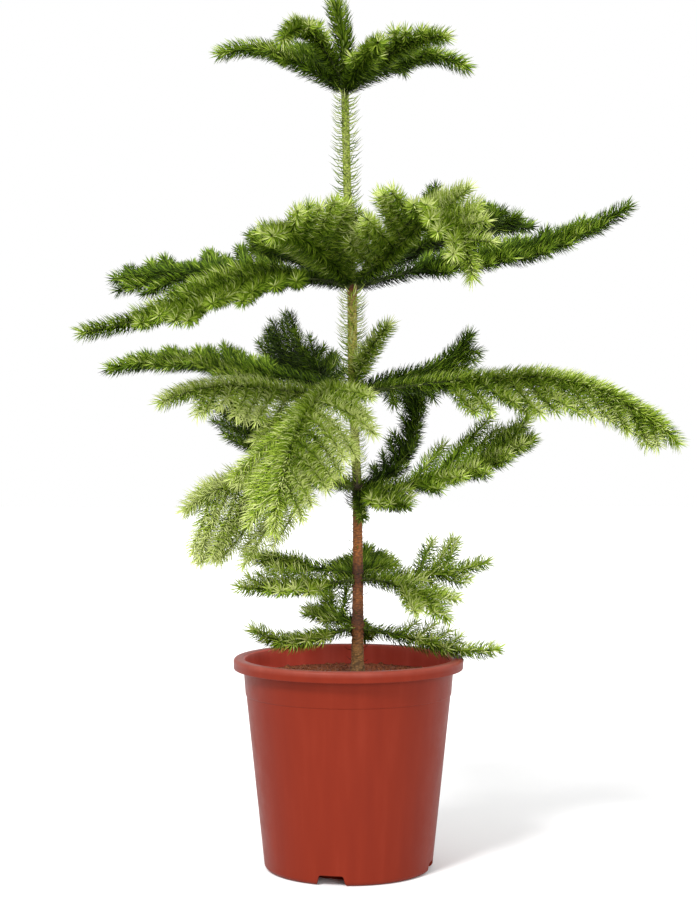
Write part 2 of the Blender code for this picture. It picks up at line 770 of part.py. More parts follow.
def grow_twigs(space, b, path):
    """The twigs of one spray. One that would touch another node is shortened, or left off."""
    name = node_name(b, "spray")
    rng = random.Random(SEED + 100 * b.tier + round(b.azimuth))
    grown = []
    for share, side in twig_places(b):
        length = twig_length(b, side, share)
        state = rng.getstate()
        while length > SHORTEST_TWIG:
            rng.setstate(state)
            twig = twig_shoot(b, path, share, side, length - TIP_LENGTH, rng)
            if settle(space, name, twig):
                space.add(name, *twig.build()[:2])
                grown.append(twig)
                break
            length *= SHORTENED
    return grown


def main():
    for old in list(bpy.data.objects):
        bpy.data.objects.remove(old)
    whole = bpy.data.collections.new("potted_norfolk_island_pine")
    cutters = bpy.data.collections.new("cutters")
    bpy.context.scene.collection.children.link(whole)
    bpy.context.scene.collection.children.link(cutters)

    pot = build_pot(whole, cutters)
    cut_drains(pot, cutters)
    pot.data.materials.append(painted("pot_plastic", "plastic"))
    soil = build_soil(whole)
    soil.data.materials.append(painted("soil", "soil"))

    space = Space()
    space.add_body(pot)
    trunk_core = trunk_shoot()
    bare_trunk = trunk_core.build_bare()
    space.add("trunk", *bare_trunk)
    trunk_faces = BVHTree.FromPolygons(*bare_trunk)
    paths = {b: Path(b) for b in BOUGHS}
    add_limbs(space, trunk_faces, paths, whole)
    sprays = grow_stems(space, trunk_faces, paths)
    settle(space, "trunk", trunk_core)
    verts, faces, _ = trunk_core.build()
    space.add("trunk", verts, faces)
    trunk = mesh_object("trunk", verts, faces, whole)
    trunk.data.materials.append(painted("bark", "bark"))
    space.add_body(soil)
    for b in BOUGHS:
        sprays[b] += grow_twigs(space, b, paths[b])
    for b, shoots in sprays.items():
        name = node_name(b, "spray")
        pieces = []
        for i, shoot in enumerate(shoots):
            verts, faces, _ = shoot.build()
            pieces.append(mesh_object(f"{name}_part_{i}", verts, faces, whole))
        spray = fused(name, pieces, whole)
        spray.data.materials.clear()
        spray.data.materials.append(painted(name + "_needles", "needles"))


main()
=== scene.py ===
import json
import math
import random

import bmesh
import bpy
import numpy as np
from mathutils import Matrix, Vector

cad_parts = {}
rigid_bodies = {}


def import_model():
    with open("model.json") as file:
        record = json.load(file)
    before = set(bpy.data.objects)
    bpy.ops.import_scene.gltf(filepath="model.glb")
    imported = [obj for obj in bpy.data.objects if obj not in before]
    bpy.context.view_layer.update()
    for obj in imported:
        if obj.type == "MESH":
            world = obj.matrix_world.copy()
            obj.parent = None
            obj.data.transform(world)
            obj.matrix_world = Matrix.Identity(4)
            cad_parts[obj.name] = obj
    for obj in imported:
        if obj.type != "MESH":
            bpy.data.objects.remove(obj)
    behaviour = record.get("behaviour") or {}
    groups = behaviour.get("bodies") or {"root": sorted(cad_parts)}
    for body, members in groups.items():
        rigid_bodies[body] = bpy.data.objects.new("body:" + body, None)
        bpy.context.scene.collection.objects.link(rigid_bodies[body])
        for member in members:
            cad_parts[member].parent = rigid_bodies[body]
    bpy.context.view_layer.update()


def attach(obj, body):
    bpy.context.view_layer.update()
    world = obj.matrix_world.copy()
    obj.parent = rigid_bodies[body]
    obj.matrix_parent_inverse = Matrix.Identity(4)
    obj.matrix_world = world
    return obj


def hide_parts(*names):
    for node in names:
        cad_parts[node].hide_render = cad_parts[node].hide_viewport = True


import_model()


# The nursery pot: one injection moulding of terracotta-coloured polypropylene, 19 cm across its
# rolled rim. The mould leaves four drain openings in the foot ring, and the wall steps in below
# the shoulder line.
POT_WALL = 0.0016
POT_TOP = 0.174
RIM_RADIUS = 0.095
RIM_DROP = 0.0090
RIM_DRAFT = 0.0002
RIM_EDGE_ROUND = 0.0007
RIM_ROUND = 0.0026
RIM_CROOK_DEPTH = 1.9 * POT_WALL
RIM_ROOT_DEPTH = 2.2 * POT_WALL
RIM_INNER_RADIUS = 0.0878
RIM_THROAT = 0.0028
RIM_THROAT_SETBACK = 0.0004
NECK_RADIUS = 0.0868
NECK_HEIGHT = 0.1655
SHOULDER_HEIGHT = 0.1440
SHOULDER_RADIUS = 0.0852
SHOULDER_STEP = 0.0007
# the curve of the step, as the share of it that is left and the height from the shoulder line
SHOULDER_CURVE = ((1.0, -0.0005), (0.35, -0.0001), (0.0, 0.0006))
FOOT_RADIUS = 0.0698
FOOT_ROUND = 0.0045
FOOT_RING_WIDTH = 2 * POT_WALL
FOOT_RING_DRAFT = 0.001
FLOOR_PAD_RADIUS = 0.0440
FLOOR_PAD_SLOPE = 0.0070
FLOOR_LIFT = 0.0095
DRAIN_WIDTH = 0.0210
DRAIN_HEIGHT = 0.0085
DRAIN_DEPTH = 0.0160
DRAIN_ROUND = 0.0024
DRAIN_FLARE = 1.16
DRAIN_SETBACK = 0.0010
DRAIN_OVERCUT = 0.0002
DRAIN_AZIMUTHS = (78.3, 168.3, 258.3, 348.3)
POT_STEPS = 192
POT_SHARP_ANGLE = 28


def rounded(centre_r, centre_z, radius, start, end, count):
    """Points on an arc of a profile, as (radius, height), from one angle to another."""
    for i in range(count + 1):
        angle = math.radians(start + (end - start) * i / count)
        yield centre_r + radius * math.cos(angle), centre_z + radius * math.sin(angle)


def turned(name, profile, steps):
    """A profile from axis to axis, turned about Z by a Screw modifier."""
    mesh = bpy.data.meshes.new(name)
    edges = [(i, i + 1) for i in range(len(profile) - 1)]
    mesh.from_pydata([(r, 0.0, z) for r, z in profile], edges, [])
    made = bpy.data.objects.new(name, mesh)
    bpy.context.scene.collection.objects.link(made)
    screw = made.modifiers.new("turn", "SCREW")
    screw.axis = "Z"
    screw.steps = steps
    screw.render_steps = steps
    screw.use_merge_vertices = True
    screw.merge_threshold = 0.00001
    screw.use_normal_calculate = True
    return made


def applied(made):
    """Turns an object's modifiers into its mesh."""
    bpy.context.view_layer.update()
    graph = bpy.context.evaluated_depsgraph_get()
    mesh = bpy.data.meshes.new_from_object(made.evaluated_get(graph))
    made.modifiers.clear()
    made.data = mesh
    return made


def smooth(made):
    """Shades every face of an object smoothly."""
    polygons = made.data.polygons
    polygons.foreach_set("use_smooth", np.ones(len(polygons), dtype=bool))


def floor_profile(inset):
    """The inside of the pot's floor, moved in by inset."""
    lift = FLOOR_LIFT + POT_WALL + inset
    return [
        (0.0, POT_WALL + inset),
        (FLOOR_PAD_RADIUS - inset, POT_WALL + inset),
        (FLOOR_PAD_RADIUS + FLOOR_PAD_SLOPE - inset, lift),
        (FOOT_RADIUS - POT_WALL - inset, lift),
    ]


outside = [
    (0.0, 0.0),
    (FLOOR_PAD_RADIUS + POT_WALL / 2, 0.0),
    (FLOOR_PAD_RADIUS + FLOOR_PAD_SLOPE + POT_WALL / 2, FLOOR_LIFT),
    (FOOT_RADIUS - FOOT_RING_WIDTH, FLOOR_LIFT),
    (FOOT_RADIUS - FOOT_RING_WIDTH - FOOT_RING_DRAFT, 0.0),
]
outside += rounded(FOOT_RADIUS - FOOT_ROUND, FOOT_ROUND, FOOT_ROUND, -80, 0, 8)
outside += [(SHOULDER_RADIUS - SHOULDER_STEP * left, SHOULDER_HEIGHT + rise) for left, rise in SHOULDER_CURVE]
outside += [
    (NECK_RADIUS, NECK_HEIGHT),
    (NECK_RADIUS + POT_WALL, POT_TOP - RIM_ROOT_DEPTH),
    (RIM_RADIUS - POT_WALL, POT_TOP - RIM_CROOK_DEPTH),
    (RIM_RADIUS - POT_WALL - RIM_DRAFT, POT_TOP - RIM_DROP),
]
edge_centre = RIM_RADIUS - RIM_EDGE_ROUND - RIM_DRAFT
outside += rounded(edge_centre, POT_TOP - RIM_DROP + RIM_EDGE_ROUND, RIM_EDGE_ROUND, -90, 0, 4)
outside += rounded(RIM_RADIUS - RIM_ROUND, POT_TOP - RIM_ROUND, RIM_ROUND, 0, 90, 9)
throat_centre = RIM_INNER_RADIUS + RIM_THROAT_SETBACK
inside = list(rounded(throat_centre, POT_TOP - RIM_THROAT, RIM_THROAT, 90, 160, 7))
inside += [
    (NECK_RADIUS - POT_WALL, NECK_HEIGHT),
    (SHOULDER_RADIUS - POT_WALL, SHOULDER_HEIGHT),
]
inside += reversed(floor_profile(0.0))
pot = turned("pot_moulding", outside + inside, POT_STEPS)

openings = bpy.data.collections.new("drain_openings")
bpy.context.scene.collection.children.link(openings)
for azimuth in DRAIN_AZIMUTHS:
    block = bmesh.new()
    bmesh.ops.create_cube(block, size=1.0)
    bmesh.ops.scale(block, vec=(DRAIN_DEPTH, DRAIN_WIDTH, 2 * DRAIN_HEIGHT), verts=block.verts)
    top_corners = []
    for edge in block.edges:
        start, end = (vertex.co for vertex in edge.verts)
        if start.z > 0 and end.z > 0 and start.y == end.y:
            top_corners.append(edge)
    bmesh.ops.bevel(block, geom=top_corners, offset=DRAIN_ROUND, segments=5, profile=0.5, affect="EDGES")
    for vertex in block.verts:
        # the foot of each opening flares where the mould leaves a soft corner
        if vertex.co.z < 0:
            vertex.co.y *= DRAIN_FLARE
            vertex.co.z = -DRAIN_OVERCUT
    mesh = bpy.data.meshes.new("drain_opening")
    block.to_mesh(mesh)
    block.free()
    cutter = bpy.data.objects.new("drain_opening", mesh)
    angle = math.radians(azimuth)
    middle = FOOT_RADIUS - DRAIN_SETBACK
    cutter.location = (middle * math.cos(angle), middle * math.sin(angle), 0.0)
    cutter.rotation_euler = (0.0, 0.0, angle)
    openings.objects.link(cutter)
cut = pot.modifiers.new("drains", "BOOLEAN")
cut.operation = "DIFFERENCE"
cut.solver = "EXACT"
cut.operand_type = "COLLECTION"
cut.collection = openings
applied(pot)
for cutter in list(openings.objects):
    bpy.data.objects.remove(cutter)
bpy.data.collections.remove(openings)
smooth(pot)
pot.data.set_sharp_from_angle(angle=math.radians(POT_SHARP_ANGLE))


def linear(hexcode):
    """An sRGB hex colour as the linear values that a shader takes."""
    channels = []
    for i in (1, 3, 5):
        value = int(hexcode[i:i + 2], 16) / 255
        channels.append(value / 12.92 if value <= 0.04045 else ((value + 0.055) / 1.055) ** 2.4)
    return (*channels, 1.0)


def add_node(tree, kind, settings=None, **inputs):
    """Adds a node, sets its properties, and sets or links its inputs by name, or by index as i0."""
    made = tree.nodes.new(kind)
    for name, value in (settings or {}).items():
        setattr(made, name, value)
    for name, value in inputs.items():
        numbered = name[0] == "i" and name[1:].isdigit()
        socket = made.inputs[int(name[1:]) if numbered else name.replace("_", " ")]
        if isinstance(value, bpy.types.NodeSocket):
            tree.links.new(value, socket)
        else:
            socket.default_value = value
    return made


def stops(ramp, points):
    """Sets a colour ramp from (position, hex) pairs."""
    elements = ramp.color_ramp.elements
    while len(elements) > len(points):
        elements.remove(elements[-1])
    while len(elements) < len(points):
        elements.new(1.0)
    for element, (position, colour) in zip(elements, points):
        element.position = position
        element.color = linear(colour)


def new_material(name):
    """A new material, with its node tree, its shader and the object's own coordinates."""
    material = bpy.data.materials.new(name)
    material.use_nodes = True
    tree = material.node_tree
    place = tree.nodes.new("ShaderNodeTexCoord").outputs["Object"]
    return material, tree, tree.nodes["Principled BSDF"], place


# Polypropylene straight from the mould: a smooth satin skin that takes a soft highlight, with
# faint flow marks that run up the wall. A paler band round the top of the rim is a painted highlight.
MOULD_GRAIN = 0.0009
GRAIN_DEPTH = 0.0004
FLOW_MARK_WIDTH = 0.012
FLOW_MARK_SQUEEZE = 0.06
SCUFF_AND_HIGHLIGHT_WIDTH = 0.018
# painted highlight: the band at the top of the rim that is mixed towards a paler colour
RIM_HIGHLIGHT_FROM = POT_TOP - 0.0050
RIM_HIGHLIGHT_TO = POT_TOP - 0.0005
RIM_HIGHLIGHT_SHARE = 0.5
RIM_HIGHLIGHT_COLOUR = "#A8665A"
OUTER_SHADES = ("#6A1F0F", "#6E2110", "#732514")
# painted light: the lighter shades of the wall's inner face
INNER_PAINTED_LIGHT_SHADES = ("#B4402F", "#BF4A3A", "#CA5444")


def moulded_polypropylene(name, shades):
    """The plastic in one set of shades, from dark flow marks to light ones, with a painted highlight round
    the rim.
    """
    material, tree, shader, place = new_material(name)
    stretch = add_node(tree, "ShaderNodeMapping", i0=place, Scale=(1.0, 1.0, FLOW_MARK_SQUEEZE))
    flow = add_node(tree, "ShaderNodeTexNoise", i0=stretch.outputs[0], Scale=1 / FLOW_MARK_WIDTH, Detail=3.0)
    shade = add_node(tree, "ShaderNodeValToRGB", i0=flow.outputs["Fac"])
    stops(shade, list(zip((0.30, 0.55, 0.75), shades)))
    scuff_and_highlight = add_node(tree, "ShaderNodeTexNoise", i0=place, Scale=1 / SCUFF_AND_HIGHLIGHT_WIDTH, Detail=6.0, Roughness=0.7)
    height = add_node(tree, "ShaderNodeSeparateXYZ", i0=place).outputs[2]
    # painted highlight: a paler colour is mixed in at the top of the rim, in patches
    rim = add_node(tree, "ShaderNodeMapRange", i0=height, i1=RIM_HIGHLIGHT_FROM, i2=RIM_HIGHLIGHT_TO, i4=RIM_HIGHLIGHT_SHARE)
    painted_highlight = add_node(
        tree, "ShaderNodeMath", {"operation": "MULTIPLY"}, i0=rim.outputs[0], i1=scuff_and_highlight.outputs["Fac"],
    )
    highlighted = add_node(
        tree, "ShaderNodeMix", {"data_type": "RGBA"},
        i0=painted_highlight.outputs[0], i6=shade.outputs["Color"], i7=linear(RIM_HIGHLIGHT_COLOUR),
    )
    tree.links.new(highlighted.outputs[2], shader.inputs["Base Color"])
    gloss = add_node(tree, "ShaderNodeMapRange", i0=scuff_and_highlight.outputs["Fac"], i1=0.3, i2=0.7, i3=0.36, i4=0.50)
    tree.links.new(gloss.outputs[0], shader.inputs["Roughness"])
    grain = add_node(tree, "ShaderNodeTexNoise", i0=place, Scale=1 / MOULD_GRAIN, Detail=2.0)
    relief = add_node(
        tree, "ShaderNodeBump", Strength=0.12, Distance=GRAIN_DEPTH, Height=grain.outputs["Fac"],
    )
    tree.links.new(relief.outputs[0], shader.inputs["Normal"])
    shader.inputs["IOR"].default_value = 1.49
    shader.inputs["Specular IOR Level"].default_value = 0.10
    return material


# The wall's inner face gets a lighter copy of the plastic, as painted light on the inside of the wall.
INNER_FACE_FROM = FLOOR_LIFT + 0.003
TURNED_INWARD = -0.5
pot.data.materials.append(moulded_polypropylene("polypropylene_outer_face", OUTER_SHADES))
pot.data.materials.append(moulded_polypropylene("polypropylene_inner_face_painted_light", INNER_PAINTED_LIGHT_SHADES))
for polygon in pot.data.polygons:
    outward = Vector((polygon.center.x, polygon.center.y, 0.0)).normalized()
    if polygon.center.z > INNER_FACE_FROM and polygon.normal.dot(outward) < TURNED_INWARD:
        polygon.material_index = 1
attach(pot, "root")
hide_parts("pot")


# The potting mix: moist peat and composted bark, filled to 15 mm below the rim and settled, with
# a crumbly top that dips where it meets the wall.
SEED = 7305
SOIL_TOP = 0.1590
SOIL_EDGE_DIP = 0.0016
SOIL_GAP = 0.0003
SOIL_RINGS = 44
SOIL_STEPS = 150
# the top is ruffled down and up by these, but for a strip along the wall
SOIL_RUFFLE = (-0.0008, 0.0004)
SOIL_CALM_EDGE = 0.0008
LUMP_WIDTH = 0.0035
FIBRE_WIDTH = 0.0012
FIBRE_RELIEF = 0.0008
CRUMB_COUNT = 1500
CRUMB_SIZES = (0.0006, 0.0019)
CRUMB_STRETCH = (0.6, 1.4)
CRUMB_DENTS = (0.8, 1.2)
# the share of the mix's area inside the innermost crumb and inside the outermost one
CRUMB_AREA = (0.004, 0.93)


def soil_height(share):
    """The top of the mix at a share of the way from the middle to the wall."""
    return SOIL_TOP - SOIL_EDGE_DIP * share ** 3


edge_height = soil_height(1.0)
climb = (edge_height - SHOULDER_HEIGHT) / (NECK_HEIGHT - SHOULDER_HEIGHT)
edge_radius = SHOULDER_RADIUS - POT_WALL + (NECK_RADIUS - SHOULDER_RADIUS) * climb - SOIL_GAP
soil_profile = floor_profile(SOIL_GAP)
soil_profile += [(SHOULDER_RADIUS - POT_WALL - SOIL_GAP, SHOULDER_HEIGHT), (edge_radius, edge_height)]
for i in range(1, SOIL_RINGS):
    share = 1 - i / SOIL_RINGS
    soil_profile.append((edge_radius * share, soil_height(share)))
soil_profile.append((0.0, SOIL_TOP))
soil = applied(turned("potting_mix", soil_profile, SOIL_STEPS))
chance = np.random.default_rng(SEED)
points = np.empty(len(soil.data.vertices) * 3, dtype=np.float32)
soil.data.vertices.foreach_get("co", points)
points = points.reshape(-1, 3)
radius = np.hypot(points[:, 0], points[:, 1])
on_top = (points[:, 2] > (SHOULDER_HEIGHT + edge_height) / 2) & (radius < edge_radius - SOIL_CALM_EDGE)
points[on_top, 2] += chance.uniform(*SOIL_RUFFLE, on_top.sum()).astype(np.float32)
soil.data.vertices.foreach_set("co", points.ravel())


def joined_mesh(name, verts, faces, material):
    """A mesh object from arrays of vertices and of faces with equal numbers of corners."""
    mesh = bpy.data.meshes.new(name)
    corners = faces.shape[1]
    mesh.vertices.add(len(verts))
    mesh.vertices.foreach_set("co", np.ascontiguousarray(verts, dtype=np.float32).ravel())
    mesh.loops.add(faces.size)
    mesh.loops.foreach_set("vertex_index", np.ascontiguousarray(faces, dtype=np.int32).ravel())
    mesh.polygons.add(len(faces))
    mesh.polygons.foreach_set("loop_start", np.arange(0, faces.size, corners, dtype=np.int32))
    mesh.update(calc_edges=True)
    mesh.validate()
    mesh.materials.append(material)
    made = bpy.data.objects.new(name, mesh)
    bpy.context.scene.collection.objects.link(made)
    return made


# Peat and composted bark: matt red-brown lumps, dark where they are moist, with a fibrous grain.
peat, tree, shader, place = new_material("peat_and_bark_mix")
lumps = add_node(tree, "ShaderNodeTexNoise", i0=place, Scale=1 / LUMP_WIDTH, Detail=8.0, Roughness=0.7)
shade = add_node(tree, "ShaderNodeValToRGB", i0=lumps.outputs["Fac"])
stops(shade, ((0.32, "#4A2413"), (0.50, "#8C4A28"), (0.70, "#B06A3C")))
tree.links.new(shade.outputs["Color"], shader.inputs["Base Color"])
shader.inputs["Roughness"].default_value = 0.92
fibres = add_node(tree, "ShaderNodeTexNoise", i0=place, Scale=1 / FIBRE_WIDTH, Detail=6.0, Roughness=0.8)
relief = add_node(tree, "ShaderNodeBump", Strength=0.8, Distance=FIBRE_RELIEF, Height=fibres.outputs["Fac"])
tree.links.new(relief.outputs[0], shader.inputs["Normal"])
soil.data.materials.clear()
soil.data.materials.append(peat)
smooth(soil)

# The crumbs are dented balls that lie half sunk in the top of the mix.
ball_mesh = bmesh.new()
bmesh.ops.create_icosphere(ball_mesh, subdivisions=1, radius=1.0)
ball = np.array([vertex.co for vertex in ball_mesh.verts])
ball_faces = np.array([[vertex.index for vertex in face.verts] for face in ball_mesh.faces])
ball_mesh.free()
crumb_radius = edge_radius * np.sqrt(chance.uniform(*CRUMB_AREA, CRUMB_COUNT))
crumb_turn = chance.uniform(0, 2 * math.pi, CRUMB_COUNT)
crumb_size = CRUMB_SIZES[0] + (CRUMB_SIZES[1] - CRUMB_SIZES[0]) * chance.uniform(0, 1, CRUMB_COUNT) ** 3
crumb_height = soil_height(crumb_radius / edge_radius)
centres = np.stack([crumb_radius * np.cos(crumb_turn), crumb_radius * np.sin(crumb_turn), crumb_height], 1)
shapes = ball[None] * crumb_size[:, None, None] * chance.uniform(*CRUMB_STRETCH, (CRUMB_COUNT, 1, 3))
shapes = shapes * chance.uniform(*CRUMB_DENTS, (CRUMB_COUNT, len(ball), 1)) + centres[:, None]
crumb_faces = ball_faces[None] + (np.arange(CRUMB_COUNT) * len(ball))[:, None, None]
crumbs = joined_mesh("potting_mix_crumbs", shapes.reshape(-1, 3), crumb_faces.reshape(-1, 3), peat)
for piece in (soil, crumbs):
    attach(piece, "root")
    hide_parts("soil")


# The trunk: one upright leader of green wood that has turned to bark from the soil up. Leaf
# cushions stand on it in a spiral, and it is swollen into a collar at every tier of boughs.
TRUNK_HEIGHTS = (0.1593, 0.170, 0.236, 0.314, 0.392, 0.480, 0.560, 0.641, 0.680, 0.700, 0.713)
TRUNK_LEAN = (0.0074, 0.0074, 0.0078, 0.0073, 0.0036, 0.0030, -0.0010, -0.0030, -0.0038, -0.0078, -0.0110)
TRUNK_RADII = (0.0068, 0.0052, 0.0043, 0.0037, 0.0034, 0.0033, 0.0027, 0.0025, 0.0022, 0.0018, 0.0011)
TIER_HEIGHTS = (0.1995, 0.2405, 0.314, 0.3925, 0.481, 0.6440)
COLLAR_SWELL = 0.0009
COLLAR_REACH = 0.0050
CUSHION_PITCH = 0.0042
CUSHION_RELIEF = 0.00055
CUSHION_LEVEL = 0.4
CUSHION_SPIRALS = 5
# a second set of spirals crosses the first: its pitch and its turns as shares, and where it starts
CROSSING_PITCH = 1.3
CROSSING_TURNS = 0.6
CROSSING_START = 0.4
BARK_ROUGHNESS = 0.00012
WEATHERED_HEIGHTS = (0.16, 0.30, 0.40, 0.60)
WEATHERED_SHARES = (1.0, 0.8, 0.5, 0.35)
RIND_HEIGHTS = (0.390, 0.410, 0.630, 0.660)
RIND_THICKNESS = (0.0, 0.0006, 0.0006, 0.0)
TRUNK_SIDES = 28
TRUNK_STEP = 0.0009
TRUNK_RUN_ON = 0.0012
TRUNK_TIP_SHARE = 0.3


def trunk_centre(z):
    return np.stack([np.interp(z, TRUNK_HEIGHTS, TRUNK_LEAN), np.zeros_like(z), z], -1)


def trunk_radius(z):
    return np.interp(z, TRUNK_HEIGHTS, TRUNK_RADII)


def tube_faces(ring_count, sides):
    """Quads of an open tube of ring_count rings."""
    ring = np.arange(ring_count - 1)[:, None] * sides
    side = np.arange(sides)[None]
    following = (side + 1) % sides
    quads = np.stack([ring + side, ring + following, ring + following + sides, ring + side + sides], -1)
    return quads.reshape(-1, 4)


trunk_z = np.arange(TRUNK_HEIGHTS[0] - TRUNK_RUN_ON, TRUNK_HEIGHTS[-1] + TRUNK_RUN_ON, TRUNK_STEP)
turn = np.arange(TRUNK_SIDES) * 2 * math.pi / TRUNK_SIDES
grid_z, grid_turn = np.meshgrid(trunk_z, turn, indexing="ij")
collar = np.zeros_like(grid_z)
for height in TIER_HEIGHTS:
    collar += COLLAR_SWELL * np.exp(-(((grid_z - height) / COLLAR_REACH) ** 2))
spiral = grid_turn * CUSHION_SPIRALS / (2 * math.pi)
crossing = grid_z / (CUSHION_PITCH * CROSSING_PITCH) - spiral * CROSSING_TURNS + CROSSING_START
cushions = np.maximum(
    np.sin(2 * math.pi * (grid_z / CUSHION_PITCH + spiral)),
    np.sin(2 * math.pi * crossing),
)
weathered = np.interp(grid_z, WEATHERED_HEIGHTS, WEATHERED_SHARES)
roughening = chance.normal(0, 1, grid_z.shape) * BARK_ROUGHNESS * weathered
surface = trunk_radius(grid_z) + collar + np.interp(grid_z, RIND_HEIGHTS, RIND_THICKNESS)
surface = surface + CUSHION_RELIEF / 2 * (cushions - CUSHION_LEVEL) * weathered + roughening
surface[-1] *= TRUNK_TIP_SHARE
centre = trunk_centre(trunk_z)[:, None]
ring = np.stack([np.cos(grid_turn), np.sin(grid_turn), np.zeros_like(grid_turn)], -1)
trunk_verts = (centre + ring * surface[..., None]).reshape(-1, 3)

# Bark and green wood of a young conifer: brown and flaking at the foot, red-brown where the leaf
# scars are fresh, dark at the joints that carry the tiers, and olive to bright green where the
# stem still has its first skin. BARK_AGES gives its colour by height in metres.
FLAKE_WIDTH = 0.0026
FLAKE_SQUEEZE = 2.4
FISSURE_WIDTH = 0.0010
FISSURE_DEPTH = 0.0006
PATCH_WIDTH = 0.006
PATCH_WANDER = 0.014
AGES_FROM = 0.160
AGES_RUN = 0.560
BARK_AGES = (
    (0.160, "#705230"), (0.175, "#906A38"), (0.195, "#7E4A20"), (0.205, "#4E2A12"), (0.225, "#8E5324"),
    (0.236, "#623416"), (0.245, "#44240E"), (0.262, "#985A26"), (0.285, "#885020"), (0.305, "#563216"),
    (0.314, "#2E1C0C"), (0.322, "#5A5424"), (0.335, "#8E9444"), (0.378, "#8A9240"), (0.390, "#4A4A1C"),
    (0.402, "#B0AA4A"), (0.440, "#BDB655"), (0.468, "#A8964A"), (0.477, "#6E3214"), (0.484, "#5E4A1E"),
    (0.495, "#86963A"), (0.560, "#9AA848"), (0.630, "#93A242"), (0.645, "#6E8030"), (0.713, "#7E9438"),
)
bark, tree, shader, place = new_material("bark_and_green_wood")
height = add_node(tree, "ShaderNodeSeparateXYZ", i0=place).outputs[2]
patches = add_node(tree, "ShaderNodeTexNoise", i0=place, Scale=1 / PATCH_WIDTH, Detail=5.0, Roughness=0.65)
wander = add_node(
    tree, "ShaderNodeMath", {"operation": "MULTIPLY_ADD"},
    i0=patches.outputs["Fac"], i1=PATCH_WANDER, i2=height,
)
lowest = AGES_FROM + PATCH_WANDER / 2
along = add_node(tree, "ShaderNodeMapRange", i0=wander.outputs[0], i1=lowest, i2=lowest + AGES_RUN)
ages = add_node(tree, "ShaderNodeValToRGB", i0=along.outputs[0])
stops(ages, [((height - AGES_FROM) / AGES_RUN, colour) for height, colour in BARK_AGES])
flattened = add_node(tree, "ShaderNodeMapping", i0=place, Scale=(1.0, 1.0, FLAKE_SQUEEZE))
flakes = add_node(tree, "ShaderNodeTexVoronoi", i0=flattened.outputs[0], Scale=1 / FLAKE_WIDTH)
darker = add_node(
    tree, "ShaderNodeMapRange", i0=flakes.outputs["Distance"], i1=0.15, i2=0.75, i3=1.25, i4=0.40,
)
shade = add_node(
    tree, "ShaderNodeMix", {"data_type": "RGBA", "blend_type": "MULTIPLY"},
    i0=1.0, i6=ages.outputs["Color"], i7=darker.outputs[0],
)
tree.links.new(shade.outputs[2], shader.inputs["Base Color"])
shader.inputs["Roughness"].default_value = 0.78
fissures = add_node(tree, "ShaderNodeTexNoise", i0=place, Scale=1 / FISSURE_WIDTH, Detail=6.0, Roughness=0.7)
relief = add_node(
    tree, "ShaderNodeBump", Strength=0.7, Distance=FISSURE_DEPTH, Height=fissures.outputs["Fac"],
)
tree.links.new(relief.outputs[0], shader.inputs["Normal"])
trunk = joined_mesh("trunk_bark", trunk_verts, tube_faces(len(trunk_z), TRUNK_SIDES), bark)
smooth(trunk)
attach(trunk, "root")
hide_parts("trunk")
